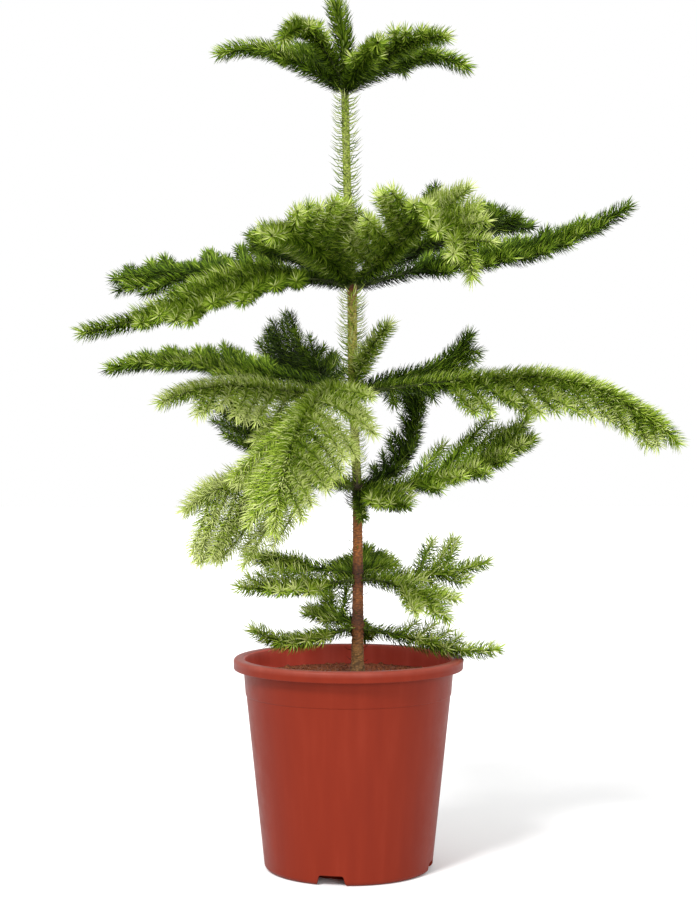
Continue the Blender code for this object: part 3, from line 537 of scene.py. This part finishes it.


# The boughs: each tier is one year's ring of side shoots, which leave the trunk nearly level in
# the middle tiers, droop at their tips under their own weight, and stand up in the youngest.
# One row says where a bough grows, how long it is, how its slope in degrees runs from root to
# middle to tip, how far its left-hand and right-hand ranks of twigs tilt up and how long they
# are, which stretch of it carries twigs, how light its needles are, from 0 to 5, and how far its
# twigs hang. The lightness is painted shade, low on the boughs at the back, and painted light,
# high on the boughs in front.
BOUGH_FIELDS = (
    "tier", "side", "height", "azimuth", "length", "rise", "lift", "reach", "first", "last", "light", "hang",
)
BOUGH_ROWS = (
    (6, "left", 0.6407, 174, 0.114, (34, 27, -20), (-10, 5), (0.017, 0.018), 0.42, 0.74, 2.55, 0.16),
    (6, "left_front", 0.6449, 236, 0.103, (47, 30, -50), (6, 39), (0.016, 0.017), 0.45, 0.77, 2.95, 0.0),
    (6, "front", 0.6402, 287, 0.093, (21, 17, 5), (5, 1), (0.015, 0.016), 0.44, 0.75, 2.95, 0.08),
    (6, "right_front", 0.6437, 320, 0.11, (25, 23, -11), (9, 19), (0.022, 0.024), 0.37, 0.81, 2.95, -0.06),
    (6, "right", 0.6402, 1, 0.109, (35, 20, -31), (-1, 5), (0.019, 0.02), 0.45, 0.74, 2.35, -0.02),
    (6, "right_back", 0.6437, 59, 0.11, (37, 27, -27), (5, 4), (0.02, 0.02), 0.4, 0.75, 1.75, 0.0),
    (6, "left_back", 0.6412, 121, 0.112, (40, 32, -6), (5, 4), (0.02, 0.02), 0.4, 0.75, 1.75, 0.02),
    (5, "left", 0.479, 211, 0.248, (15, -22, -11), (-1, 39), (0.093, 0.029), 0.21, 0.78, 2.5, 0.05),
    (5, "left_back", 0.483, 150, 0.244, (11, 2, -4), (-43, 13), (0.053, 0.069), 0.29, 0.93, 1.3, -0.15),
    (5, "right", 0.4785, 8, 0.247, (18, 9, 31), (17, -20), (0.042, 0.046), 0.23, 0.84, 1.5, -0.15),
    (5, "right_front", 0.483, 297, 0.224, (12, 24, -76), (46, 17), (0.055, 0.06), 0.17, 0.9, 3.6, 0.0),
    (5, "left_front", 0.482, 248, 0.165, (19, 15, -13), (39, 5), (0.066, 0.047), 0.1, 0.88, 3.3, -0.21),
    (5, "right_back", 0.483, 41, 0.223, (24, 18, 3), (26, 30), (0.095, 0.048), 0.27, 0.85, 1.3, -0.11),
    (5, "back", 0.479, 117, 0.176, (21, 20, -16), (8, 9), (0.06, 0.061), 0.26, 0.93, 1.5, -0.2),
    (4, "right", 0.392, 339, 0.284, (8, 2, -46), (-4, -36), (0.049, 0.07), 0.28, 0.93, 3.4, -0.05),
    (4, "right_back", 0.394, 37, 0.14, (13, 11, 50), (-55, -19), (0.044, 0.042), 0.27, 0.9, 1.6, 0.5),
    (4, "back", 0.392, 114, 0.21, (4, 14, -5), (70, 6), (0.066, 0.062), 0.3, 0.9, 1.2, -0.35),
    (4, "left", 0.394, 158, 0.231, (11, 10, -11), (-5, 27), (0.038, 0.05), 0.3, 0.89, 2.1, 0.18),
    (4, "front", 0.393, 246, 0.204, (13, -39, -79), (5, -21), (0.09, 0.086), 0.23, 0.85, 4.0, 0.3),
    (4, "left_front", 0.39, 212, 0.178, (1, 7, -23), (-45, 5), (0.052, 0.04), 0.2, 0.84, 4.0, 0.34),
    (4, "right_front", 0.3945, 314, 0.068, (70, 50, 35), (-10, 3), (0.011, 0.012), 0.25, 0.75, 3.8, 0.03),
    (3, "right", 0.313, 350, 0.152, (0, 17, 32), (29, -12), (0.082, 0.05), 0.3, 0.93, 2.9, -0.06),
    (3, "right_back", 0.3165, 36, 0.112, (-6, 60, 88), (27, 14), (0.028, 0.028), 0.2, 0.92, 1.1, -0.01),
    (3, "left_back", 0.3145, 139, 0.166, (12, 24, 43), (-3, 13), (0.067, 0.055), 0.3, 0.89, 1.2, -0.13),
    (3, "left_front", 0.3135, 205, 0.158, (14, 0, -38), (-76, 24), (0.104, 0.029), 0.28, 0.89, 4.6, 0.02),
    (3, "front", 0.313, 277, 0.039, (-28, -43, -32), (-61, 8), (0.018, 0.011), 0.31, 0.8, 2.2, 0.42),
    (3, "right_front", 0.3095, 312, 0.06, (-7, -10, -3), (26, -1), (0.032, 0.023), 0.24, 0.78, 2.6, -0.01),
    (2, "left_back", 0.242, 165, 0.098, (10, 2, 23), (39, 8), (0.026, 0.02), 0.41, 0.86, 2.65, -0.02),
    (2, "left_front", 0.238, 210, 0.11, (-4, -2, 5), (-3, 45), (0.032, 0.033), 0.3, 0.83, 3.45, -0.03),
    (2, "right", 0.241, 16, 0.115, (-6, 4, 16), (32, -48), (0.064, 0.034), 0.45, 0.75, 3.15, -0.29),
    (2, "right_front", 0.239, 334, 0.088, (0, -16, -50), (4, -3), (0.055, 0.056), 0.39, 0.75, 3.45, 0.0),
    (2, "back", 0.242, 85, 0.102, (6, 5, 16), (2, 0), (0.036, 0.045), 0.1, 0.81, 2.25, 0.14),
    (1, "left", 0.199, 194, 0.092, (-12, -11, 36), (1, -6), (0.02, 0.021), 0.28, 0.81, 3.3, 0.25),
    (1, "left_back", 0.2, 132, 0.062, (18, 3, 10), (-11, 38), (0.03, 0.047), 0.28, 0.79, 2.7, -0.21),
    (1, "right", 0.198, 356, 0.118, (-7, -18, 10), (51, 11), (0.027, 0.018), 0.31, 0.76, 3.2, -0.32),
    (1, "right_back", 0.2, 83, 0.055, (-7, -20, -14), (-4, -22), (0.015, 0.014), 0.28, 0.75, 2.4, 0.03),
)
PATH_STEPS = 24
LIMBED_TIERS = (3, 4, 5)
LIMBED_LENGTH = 0.10


class Bough:
    """One bough: its row, and its centre line as points and directions at equal steps."""

    def __init__(self, row):
        for name, value in zip(BOUGH_FIELDS, row):
            setattr(self, name, value)
        self.label = f"tier_{self.tier}_{self.side}"
        self.limbed = self.tier in LIMBED_TIERS and self.length > LIMBED_LENGTH
        share = (np.arange(PATH_STEPS) + 0.5) / PATH_STEPS
        slope = np.radians(np.interp(share, (0.0, 0.5, 1.0), self.rise))
        azimuth = math.radians(self.azimuth)
        self.directions = np.stack([
            np.cos(slope) * math.cos(azimuth),
            np.cos(slope) * math.sin(azimuth),
            np.sin(slope),
        ], 1)
        root = trunk_centre(np.array([self.height]))
        steps = self.directions * (self.length / PATH_STEPS)
        self.points = np.concatenate([root, root + np.cumsum(steps, 0)])

    def at(self, share):
        """The point and the direction at a share of the bough's length."""
        place = min(max(share, 0.0), 1.0) * PATH_STEPS
        i = min(int(place), PATH_STEPS - 1)
        point = self.points[i] + (self.points[i + 1] - self.points[i]) * (place - i)
        return point, self.directions[i]

    def twigged(self, share):
        """A share of the bough's length as a share of the stretch that carries twigs."""
        return (share - self.first) / (self.last - self.first)


boughs = [Bough(row) for row in BOUGH_ROWS]
LIMB_RADIUS = 0.0020
LIMB_TIP_RADIUS = 0.0007
LIMB_SIDES = 10
# a short bough is thinner: the least share of the full radius, and what a metre of length adds
THINNEST_LIMB = 0.55
THICKER_BY_METRE = 2.0
LIMB_FLARE = 0.0009
LIMB_FLARE_FALL = 14
LIMB_TAPER = 0.8
NEARLY_UPRIGHT = 0.2


def unit(vectors):
    return vectors / np.maximum(np.linalg.norm(vectors, axis=-1, keepdims=True), 1e-9)


def frames(points):
    """Tangents and a level and an upright cross direction at each point of a line."""
    tangents = unit(np.gradient(points, axis=0))
    level = np.cross(np.array([0.0, 0.0, 1.0]), tangents)
    weak = np.linalg.norm(level, axis=1) < NEARLY_UPRIGHT
    level[weak] = np.cross(np.array([0.0, 1.0, 0.0]), tangents[weak])
    level = unit(level)
    for i in range(1, len(level)):
        if level[i] @ level[i - 1] < 0:
            level[i] = -level[i]
    return tangents, level, np.cross(tangents, level)


def swept(points, radii, sides):
    """Vertices of a tube round a line of points, one ring to a point."""
    _, level, upright = frames(points)
    angles = np.arange(sides) * 2 * math.pi / sides
    ring = level[:, None] * np.cos(angles)[None, :, None] + upright[:, None] * np.sin(angles)[None, :, None]
    return (points[:, None] + ring * radii[:, None, None]).reshape(-1, 3)


class Tubes:
    """Tubes that are joined into one mesh as they are added."""

    def __init__(self, sides):
        self.sides = sides
        self.verts = []
        self.faces = []
        self.count = 0

    def add(self, points, radii):
        self.verts.append(swept(points, radii, self.sides))
        self.faces.append(tube_faces(len(points), self.sides) + self.count)
        self.count += len(self.verts[-1])

    def joined(self, name, material):
        return joined_mesh(name, np.concatenate(self.verts), np.concatenate(self.faces), material)


# Bough bark: green-brown in patches, matt and finely ribbed.
BARK_PATCH_WIDTH = 0.010
RIB_WIDTH = 0.0012
RIB_DEPTH = 0.0005
bough_bark, tree, shader, place = new_material("bough_bark")
patches = add_node(tree, "ShaderNodeTexNoise", i0=place, Scale=1 / BARK_PATCH_WIDTH, Detail=4.0)
shade = add_node(tree, "ShaderNodeValToRGB", i0=patches.outputs["Fac"])
stops(shade, ((0.35, "#2A3010"), (0.52, "#3D4819"), (0.70, "#556124")))
tree.links.new(shade.outputs["Color"], shader.inputs["Base Color"])
shader.inputs["Roughness"].default_value = 0.75
ribs = add_node(tree, "ShaderNodeTexNoise", i0=place, Scale=1 / RIB_WIDTH, Detail=4.0)
relief = add_node(tree, "ShaderNodeBump", Strength=0.6, Distance=RIB_DEPTH, Height=ribs.outputs["Fac"])
tree.links.new(relief.outputs[0], shader.inputs["Normal"])
tubes = Tubes(LIMB_SIDES)
for bough in boughs:
    share = np.linspace(0.0, 1.0, len(bough.points))
    thickness = LIMB_RADIUS * min(1.0, THINNEST_LIMB + THICKER_BY_METRE * bough.length)
    thickness = thickness + LIMB_FLARE * np.exp(-share * LIMB_FLARE_FALL)
    tubes.add(bough.points, thickness + (LIMB_TIP_RADIUS - thickness) * share ** LIMB_TAPER)
limbs = tubes.joined("boughs_bark", bough_bark)
smooth(limbs)
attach(limbs, "root")
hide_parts(*[bough.label + "_limb" for bough in boughs if bough.limbed])


# The twigs: two ranks of short side shoots on every bough, longest a quarter of the way out. Each
# leaves the bough at some fifty to sixty degrees and bends towards its tip. The bough that hangs
# as a curtain has its twigs closer together.
TWIG_PITCH = 0.0125
CURTAIN = "tier_3_left_front"
CURTAIN_PITCH_SHARE = 0.7
TWIG_ANGLE_START = 62.0
TWIG_ANGLE_END = 48.0
TWIG_ANGLE_WANDER = 7
TWIG_LIFT_WANDER = 9
TWIG_HANG_WANDER = (-0.12, 0.06)
TWIG_BEND = 0.25
TWIG_STIFFNESS = 0.9
LONGEST_TWIG_AT = 0.25
FIRST_TWIG_SHARE = 0.75
LAST_TWIG_LOSS = 0.55
TWIG_LENGTHS = (0.82, 1.02)
SHORTEST_TWIG = 0.006
RANK_STAGGER = 0.5
TWIG_PLACE_WANDER = 0.15
TWIG_SHADE_WANDER = 0.45
TWIG_RADIUS = 0.00085
TWIG_TIP_RADIUS = 0.00045
TWIG_SIDES = 5
TWIG_POINTS = 9


def twig_length(bough, side, share):
    """The length of a twig: it grows to the longest one and falls off towards the bough's tip."""
    out = bough.twigged(share)
    grown = FIRST_TWIG_SHARE + (1 - FIRST_TWIG_SHARE) * min(1.0, out / LONGEST_TWIG_AT)
    left = 1.0 - LAST_TWIG_LOSS * max(0.0, out - LONGEST_TWIG_AT) / (1 - LONGEST_TWIG_AT)
    return bough.reach[side] * grown * left


def twig_line(bough, share, side, length, chance):
    """The centre line of a twig, from its root on the bough to its tip."""
    angle = TWIG_ANGLE_START + (TWIG_ANGLE_END - TWIG_ANGLE_START) * bough.twigged(share)
    angle = math.radians(angle + chance.uniform(-TWIG_ANGLE_WANDER, TWIG_ANGLE_WANDER))
    root, along = bough.at(share)
    left = unit(np.cross(np.array([0.0, 0.0, 1.0]), along))
    normal = np.cross(along, left)
    lift = math.radians(bough.lift[side] + chance.uniform(-TWIG_LIFT_WANDER, TWIG_LIFT_WANDER))
    out = (left if side == 0 else -left) * math.cos(lift) + normal * math.sin(lift)
    way = along * math.cos(angle) + out * math.sin(angle)
    droop = np.array([0.0, 0.0, bough.hang + chance.uniform(*TWIG_HANG_WANDER)])
    bent = unit(way * TWIG_STIFFNESS + along * TWIG_BEND - droop)
    steps = np.linspace(0.0, 1.0, TWIG_POINTS)[1:, None]
    directions = unit(way[None] * (1 - steps) + bent[None] * steps)
    return np.concatenate([root[None], root + np.cumsum(directions * (length / (TWIG_POINTS - 1)), 0)])


# Young twig skin: smooth, and as green as the feet of the needles that stand on it.
SKIN_PATCH_WIDTH = 0.015
green_skin, tree, shader, place = new_material("green_twig_skin")
patches = add_node(tree, "ShaderNodeTexNoise", i0=place, Scale=1 / SKIN_PATCH_WIDTH, Detail=3.0)
shade = add_node(tree, "ShaderNodeValToRGB", i0=patches.outputs["Fac"])
stops(shade, ((0.35, "#4E5C1E"), (0.55, "#66762C"), (0.72, "#7E8C3C")))
tree.links.new(shade.outputs["Color"], shader.inputs["Base Color"])
shader.inputs["Roughness"].default_value = 0.6
shoots = []
tubes = Tubes(TWIG_SIDES)
twig_radii = np.linspace(TWIG_RADIUS, TWIG_TIP_RADIUS, TWIG_POINTS)
for bough in boughs:
    bough_chance = random.Random(SEED + 100 * bough.tier + round(bough.azimuth))
    pitch = TWIG_PITCH * (CURTAIN_PITCH_SHARE if bough.label == CURTAIN else 1.0)
    stretch = bough.last - bough.first
    number = max(1, round(stretch * bough.length / pitch))
    for side in (0, 1):
        for i in range(number):
            wander = bough_chance.uniform(-TWIG_PLACE_WANDER, TWIG_PLACE_WANDER)
            share = bough.first + stretch * (i + RANK_STAGGER * side + wander) / number
            length = twig_length(bough, side, share) * bough_chance.uniform(*TWIG_LENGTHS)
            if length < SHORTEST_TWIG:
                continue
            line = twig_line(bough, share, side, length, bough_chance)
            tubes.add(line, twig_radii)
            shoots.append((bough, line, bough_chance.uniform(-TWIG_SHADE_WANDER, TWIG_SHADE_WANDER)))
twigs = tubes.joined("twigs", green_skin)
sprays = [bough.label + "_spray" for bough in boughs]
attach(twigs, "root")
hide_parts(*sprays)


# The needles: stiff awls about 11 mm long, keeled, set in a spiral all round every shoot and
# curved in towards its tip. The ones below a level shoot are a little shorter. Painted shade
# darkens them and painted light brightens the ones above. Old needles are dark, and towards a
# shoot's foot the darkening is also painted shade deep in the foliage. The ones at the ends of the
# shoots are a light yellow-green.
NEEDLE_LENGTH = 0.0110
NEEDLE_WIDTH = 0.00090
NEEDLE_THICKNESS = 0.00055
NEEDLE_LENGTHS = (0.82, 1.12)
UNDER_LOSS = 0.12
GOLDEN_TURN = math.radians(137.508)
SPIRAL_WANDER = 0.25
# each needle's foot is sunk into the shoot, to this share of its radius
NEEDLE_SEAT = 0.7
# the angle to the shoot, in degrees, that a needle has at its foot and at its point
SHOOT_SPREAD = (76.0, 44.0)
TRUNK_SPREAD = (86.0, 42.0)
LEADER_SPREAD = (70.0, 30.0)
SPREAD_WANDER = 7
# over the bud, in the last stretch of a shoot, both angles close by these many degrees
BUD_STRETCH = 0.005
BUD_CLOSING = (40, 14)
# a needle is drawn as two straight halves, which point where its curve does at these shares
NEEDLE_HALVES = (0.2, 0.8)
NEW_GROWTH = 0.012
MIDDLE_TONE = 0.45
NEW_TONE = 0.6
# age and painted shade: how much darker the needles are towards a shoot's foot
OLD_AND_SHADED_TONE = 1.3
# painted light and shade: how much lighter the needles above a level shoot are, and darker those below
PAINTED_TOP_LIGHT_UNDER_SHADE = 0.8
TONE_WANDER = 0.85
TONES = ("#0C1500", "#203203", "#425B0D", "#6B871C", "#98AE3D", "#C5CF82")
# how a shoot's needles change along it: their size at its foot, the gain up to a quarter of the
# way out, the loss at its tip, and how late that loss comes
FULL_SIZE_AT = 0.25
TWIG_SIZES = (0.80, 0.2, 0.12, 4)
BOUGH_SIZES = (0.72, 0.36, 0.1, 6)
EVEN_SIZES = (1.0, 0.0, 0.0, 1)

needle_lines = []
needle_sides = []
needle_sizes = []
needle_tones = []


def clothe(points, radii, spacing, light, full, sizes, spread=SHOOT_SPREAD):
    """Adds the needles of one shoot along its line. full is the size of its largest ones."""
    lengths = np.concatenate([[0.0], np.cumsum(np.linalg.norm(np.diff(points, axis=0), axis=1))])
    total = lengths[-1]
    number = int(total / spacing)
    if number < 3:
        return
    tangents, level, _ = frames(points)
    where = (np.arange(number) + chance.uniform(0.2, 0.8, number)) * total / number
    share = where / total

    def along(values):
        return np.stack([np.interp(where, lengths, values[:, i]) for i in range(values.shape[1])], 1)

    tangent = unit(along(tangents))
    cross = unit(along(level))
    rise = np.cross(tangent, cross)
    angle = np.arange(number) * GOLDEN_TURN + chance.normal(0, SPIRAL_WANDER, number)
    outward = cross * np.cos(angle)[:, None] + rise * np.sin(angle)[:, None]
    root = along(points) + outward * np.interp(where, lengths, radii)[:, None] * NEEDLE_SEAT
    at_foot, gain, loss, lateness = sizes
    size = full * (at_foot + gain * np.minimum(share / FULL_SIZE_AT, 1) - loss * share ** lateness)
    size = size * chance.uniform(*NEEDLE_LENGTHS, number)
    level_shoot = 1.0 - np.abs(tangent[:, 2])
    under = np.clip(-outward[:, 2], 0, 1) * level_shoot
    size = size * (1.0 - UNDER_LOSS * under)
    near_bud = np.clip(1.0 - (total - where) / BUD_STRETCH, 0, 1)
    start = np.radians(spread[0] - BUD_CLOSING[0] * near_bud + chance.normal(0, SPREAD_WANDER, number))
    end = np.radians(spread[1] - BUD_CLOSING[1] * near_bud + chance.normal(0, SPREAD_WANDER, number))
    line = [root]
    for half in NEEDLE_HALVES:
        bend = start + (end - start) * half
        way = tangent * np.cos(bend)[:, None] + outward * np.sin(bend)[:, None]
        line.append(line[-1] + unit(way) * (size * NEEDLE_LENGTH / 2)[:, None])
    newness = np.clip(1.0 - (total - where) / NEW_GROWTH, 0, 1)
    # painted shade: needles towards a shoot's foot are darker, for their age and for the shade deep in the
    # foliage
    tone = light + MIDDLE_TONE + NEW_TONE * newness - OLD_AND_SHADED_TONE * (1 - share) ** 2
    # painted light and shade: needles above a level shoot are lighter and those below it darker
    tone = tone + PAINTED_TOP_LIGHT_UNDER_SHADE * outward[:, 2] * level_shoot
    tone += chance.normal(0, TONE_WANDER, number)
    needle_lines.append(np.stack(line, 1))
    needle_sides.append(unit(np.cross(tangent, outward)))
    needle_sizes.append(size)
    needle_tones.append(tone)


SHADED_LIGHT = 1.25
SHADED_VIGOUR = 0.82
SPUR_LENGTH = 0.045
SPUR_VIGOUR = 0.5


def vigour(bough):
    """The size of a bough's needles: a spur's stay short, and shade keeps them below full size."""
    if bough.length < SPUR_LENGTH:
        return SPUR_VIGOUR
    return SHADED_VIGOUR if bough.light < SHADED_LIGHT else 1.0


TWIG_NEEDLE_SPACING = 0.00020
YOUNG_SPACING_SHARE = 0.8
SPACING_LIGHTS = (1.5, 3.5)
SPACING_SHARES = (0.85, 1.2)
OLD_SPACING_SHARE = 1.2


def twig_spacing(bough):
    """The step from needle to needle on a twig: short on the two youngest tiers and in the shade."""
    share = YOUNG_SPACING_SHARE if bough.tier > 4 else np.interp(bough.light, SPACING_LIGHTS, SPACING_SHARES)
    return TWIG_NEEDLE_SPACING * share * (OLD_SPACING_SHARE if bough.tier < 3 else 1.0)


# painted light and shade: each bough's lightness darkens the needles of the boughs at the back and lightens
# those in front
for bough, line, shift in shoots:
    clothe(line, twig_radii, twig_spacing(bough), bough.light + shift, vigour(bough), TWIG_SIZES)

# The bough's own line is needled too, closer than its twigs and darker, as it is in their shade.
BOUGH_NEEDLE_SPACING = 0.00012
OLD_BOUGH_SPACING = 1.25 * BOUGH_NEEDLE_SPACING
CROWN_NEEDLE_SPACING = 0.00010
BOUGH_NEEDLES_FROM = 0.03
BOUGH_NEEDLE_POINTS = 30
BOUGH_SKIN_RADII = (0.0016, 0.0006)
BOUGH_SHADE = 0.3
BOUGH_VIGOUR_GAIN = 0.2
for bough in boughs:
    share = np.linspace(BOUGH_NEEDLES_FROM, 1.0, BOUGH_NEEDLE_POINTS)
    line = np.array([bough.at(s)[0] for s in share])
    spacing = CROWN_NEEDLE_SPACING if bough.tier == 6 else BOUGH_NEEDLE_SPACING
    spacing = OLD_BOUGH_SPACING if bough.tier < 3 else spacing
    full = min(1.0, vigour(bough) + BOUGH_VIGOUR_GAIN)
    bough_radii = np.interp(share, (0, 1), BOUGH_SKIN_RADII)
    # painted light and shade: the bough's lightness, less the shade of its twigs
    clothe(line, bough_radii, spacing, bough.light - BOUGH_SHADE, full, BOUGH_SIZES)

# The trunk keeps its own needles where it is still green. They stand thin on the bark below, dark
# and close round the joints of tiers 3 and 4, and closest on the last stretch. Each band has its
# lowest and highest point, and its needles' spacing, size and lightness.
NEEDLED_BANDS = (
    (0.168, 0.300, 0.0026, 0.80, 1.4),
    (0.298, 0.320, 0.00030, 1.05, 0.8),
    (0.384, 0.400, 0.00030, 1.0, 1.0),
    (0.316, 0.390, 0.00034, 0.96, 4.0),
    (0.394, 0.476, 0.00028, 1.20, 3.9),
    (0.484, 0.640, 0.00042, 1.22, 3.8),
    (0.642, 0.713, 0.00011, 1.20, 2.3),
)
BAND_STEP = 0.004
LEADER_FROM = 0.65
for low, high, spacing, full, light in NEEDLED_BANDS:
    z = np.linspace(low, high, max(4, int((high - low) / BAND_STEP)))
    spread = LEADER_SPREAD if high > LEADER_FROM else TRUNK_SPREAD
    clothe(trunk_centre(z), trunk_radius(z), spacing, light, full, EVEN_SIZES, spread)

# Each needle is a keeled awl: three corners round its foot, three half-way, and its point.
HALFWAY_FULLNESS = 0.85
line = np.concatenate(needle_lines)
side = np.concatenate(needle_sides)
size = np.concatenate(needle_sizes)
tone = np.clip(np.rint(np.concatenate(needle_tones)), 0, len(TONES) - 1).astype(int)
rings = []
for k, fullness in ((0, 1.0), (1, HALFWAY_FULLNESS)):
    back = unit(np.cross(side, unit(line[:, k + 1] - line[:, k])))
    half = (size * NEEDLE_WIDTH * 0.5 * fullness)[:, None]
    keel = (size * NEEDLE_THICKNESS * fullness)[:, None]
    rings += [line[:, k] - side * half, line[:, k] + side * half, line[:, k] + back * keel]
rings.append(line[:, 2])
verts = np.stack(rings, 1)
corners = verts.shape[1]
needle_faces = []
for edge, keel in ((0, 2), (2, 1)):
    needle_faces += [(edge, keel, keel + 3), (edge, keel + 3, edge + 3), (edge + 3, keel + 3, 6)]
needle_faces = np.array(needle_faces)
PIECE_NEEDLES = 32000
FLECK_WIDTH = 0.004
FLECK_SHADES = (0.80, 1.20)


def waxy_needle_skin(name, colour):
    """Needle skin: waxy, with a soft sheen, a little lighter and darker every few needles."""
    material, tree, shader, place = new_material(name)
    shader.inputs["Roughness"].default_value = 0.55
    shader.inputs["IOR"].default_value = 1.45
    shader.inputs["Specular IOR Level"].default_value = 0.14
    fleck = add_node(tree, "ShaderNodeTexNoise", i0=place, Scale=1 / FLECK_WIDTH, Detail=3.0)
    low, high = FLECK_SHADES
    level = add_node(tree, "ShaderNodeMapRange", i0=fleck.outputs["Fac"], i1=0.3, i2=0.7, i3=low, i4=high)
    shade = add_node(
        tree, "ShaderNodeMix", {"data_type": "RGBA", "blend_type": "MULTIPLY"},
        i0=1.0, i6=linear(colour), i7=level.outputs[0],
    )
    tree.links.new(shade.outputs[2], shader.inputs["Base Color"])
    return material


for index, colour in enumerate(TONES):
    chosen = np.flatnonzero(tone == index)
    needle_skin = waxy_needle_skin(f"waxy_needle_skin_{index}", colour)
    for part in range(0, len(chosen), PIECE_NEEDLES):
        some = chosen[part:part + PIECE_NEEDLES]
        faces = needle_faces[None] + (np.arange(len(some)) * corners)[:, None, None]
        needles = joined_mesh(
            f"needles_{index}_{part // PIECE_NEEDLES}",
            verts[some].reshape(-1, 3), faces.reshape(-1, 3), needle_skin,
        )
        smooth(needles)
        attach(needles, "root")
        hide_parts(*sprays)


# The studio: a pale seamless floor and an even white surround. One soft lamp stands far off at
# the upper left in front, and a weaker one lower at the right in front.
FLOOR_SIZE = 12.0
KEY_DIRECTION = (-0.55, -0.9, 1.1)
KEY_POWER = 3.0
KEY_SPREAD = 14
FILL_DIRECTION = (0.35, -1.0, 0.35)
FILL_POWER = 1.3
FILL_SPREAD = 24
bpy.ops.mesh.primitive_plane_add(size=FLOOR_SIZE, location=(0.0, 0.0, 0.0))
floor = bpy.context.object
floor.name = "studio_floor"
paper, _, shader, _ = new_material("matt_white_backdrop_paper")
shader.inputs["Base Color"].default_value = linear("#EDEDED")
shader.inputs["Roughness"].default_value = 0.9
floor.data.materials.append(paper)

world = bpy.data.worlds.new("studio_surround")
bpy.context.scene.world = world
world.use_nodes = True
background = world.node_tree.nodes["Background"]
background.inputs["Color"].default_value = (1.0, 1.0, 1.0, 1.0)
background.inputs["Strength"].default_value = 1.0
bpy.context.scene.view_settings.view_transform = "Standard"


def soft_lamp(name, direction, power, spread):
    """A lamp far off in a direction from the plant, with its spread in degrees."""
    data = bpy.data.lights.new(name, "SUN")
    data.energy = power
    data.angle = math.radians(spread)
    lamp = bpy.data.objects.new(name, data)
    lamp.rotation_euler = (-Vector(direction)).to_track_quat("-Z", "Y").to_euler()
    bpy.context.scene.collection.objects.link(lamp)


soft_lamp("key_lamp", KEY_DIRECTION, KEY_POWER, KEY_SPREAD)
soft_lamp("fill_lamp", FILL_DIRECTION, FILL_POWER, FILL_SPREAD)

CAMERA_DISTANCE = 1.566
CAMERA_HEIGHT = 0.375
CAMERA_NEAREST = 0.05
FRAME_HEIGHT = 900
FOCAL_PIXELS = 1896
HORIZON_ABOVE_MIDDLE = 36
SENSOR = 36.0
camera_data = bpy.data.cameras.new("camera")
camera_data.sensor_width = SENSOR
camera_data.lens = SENSOR * FOCAL_PIXELS / FRAME_HEIGHT
camera_data.clip_start = CAMERA_NEAREST
camera = bpy.data.objects.new("camera", camera_data)
camera.location = (0.0, -CAMERA_DISTANCE, CAMERA_HEIGHT)
camera.rotation_euler = (math.radians(90) - math.atan(HORIZON_ABOVE_MIDDLE / FOCAL_PIXELS), 0.0, 0.0)
bpy.context.scene.collection.objects.link(camera)
bpy.context.scene.camera = camera
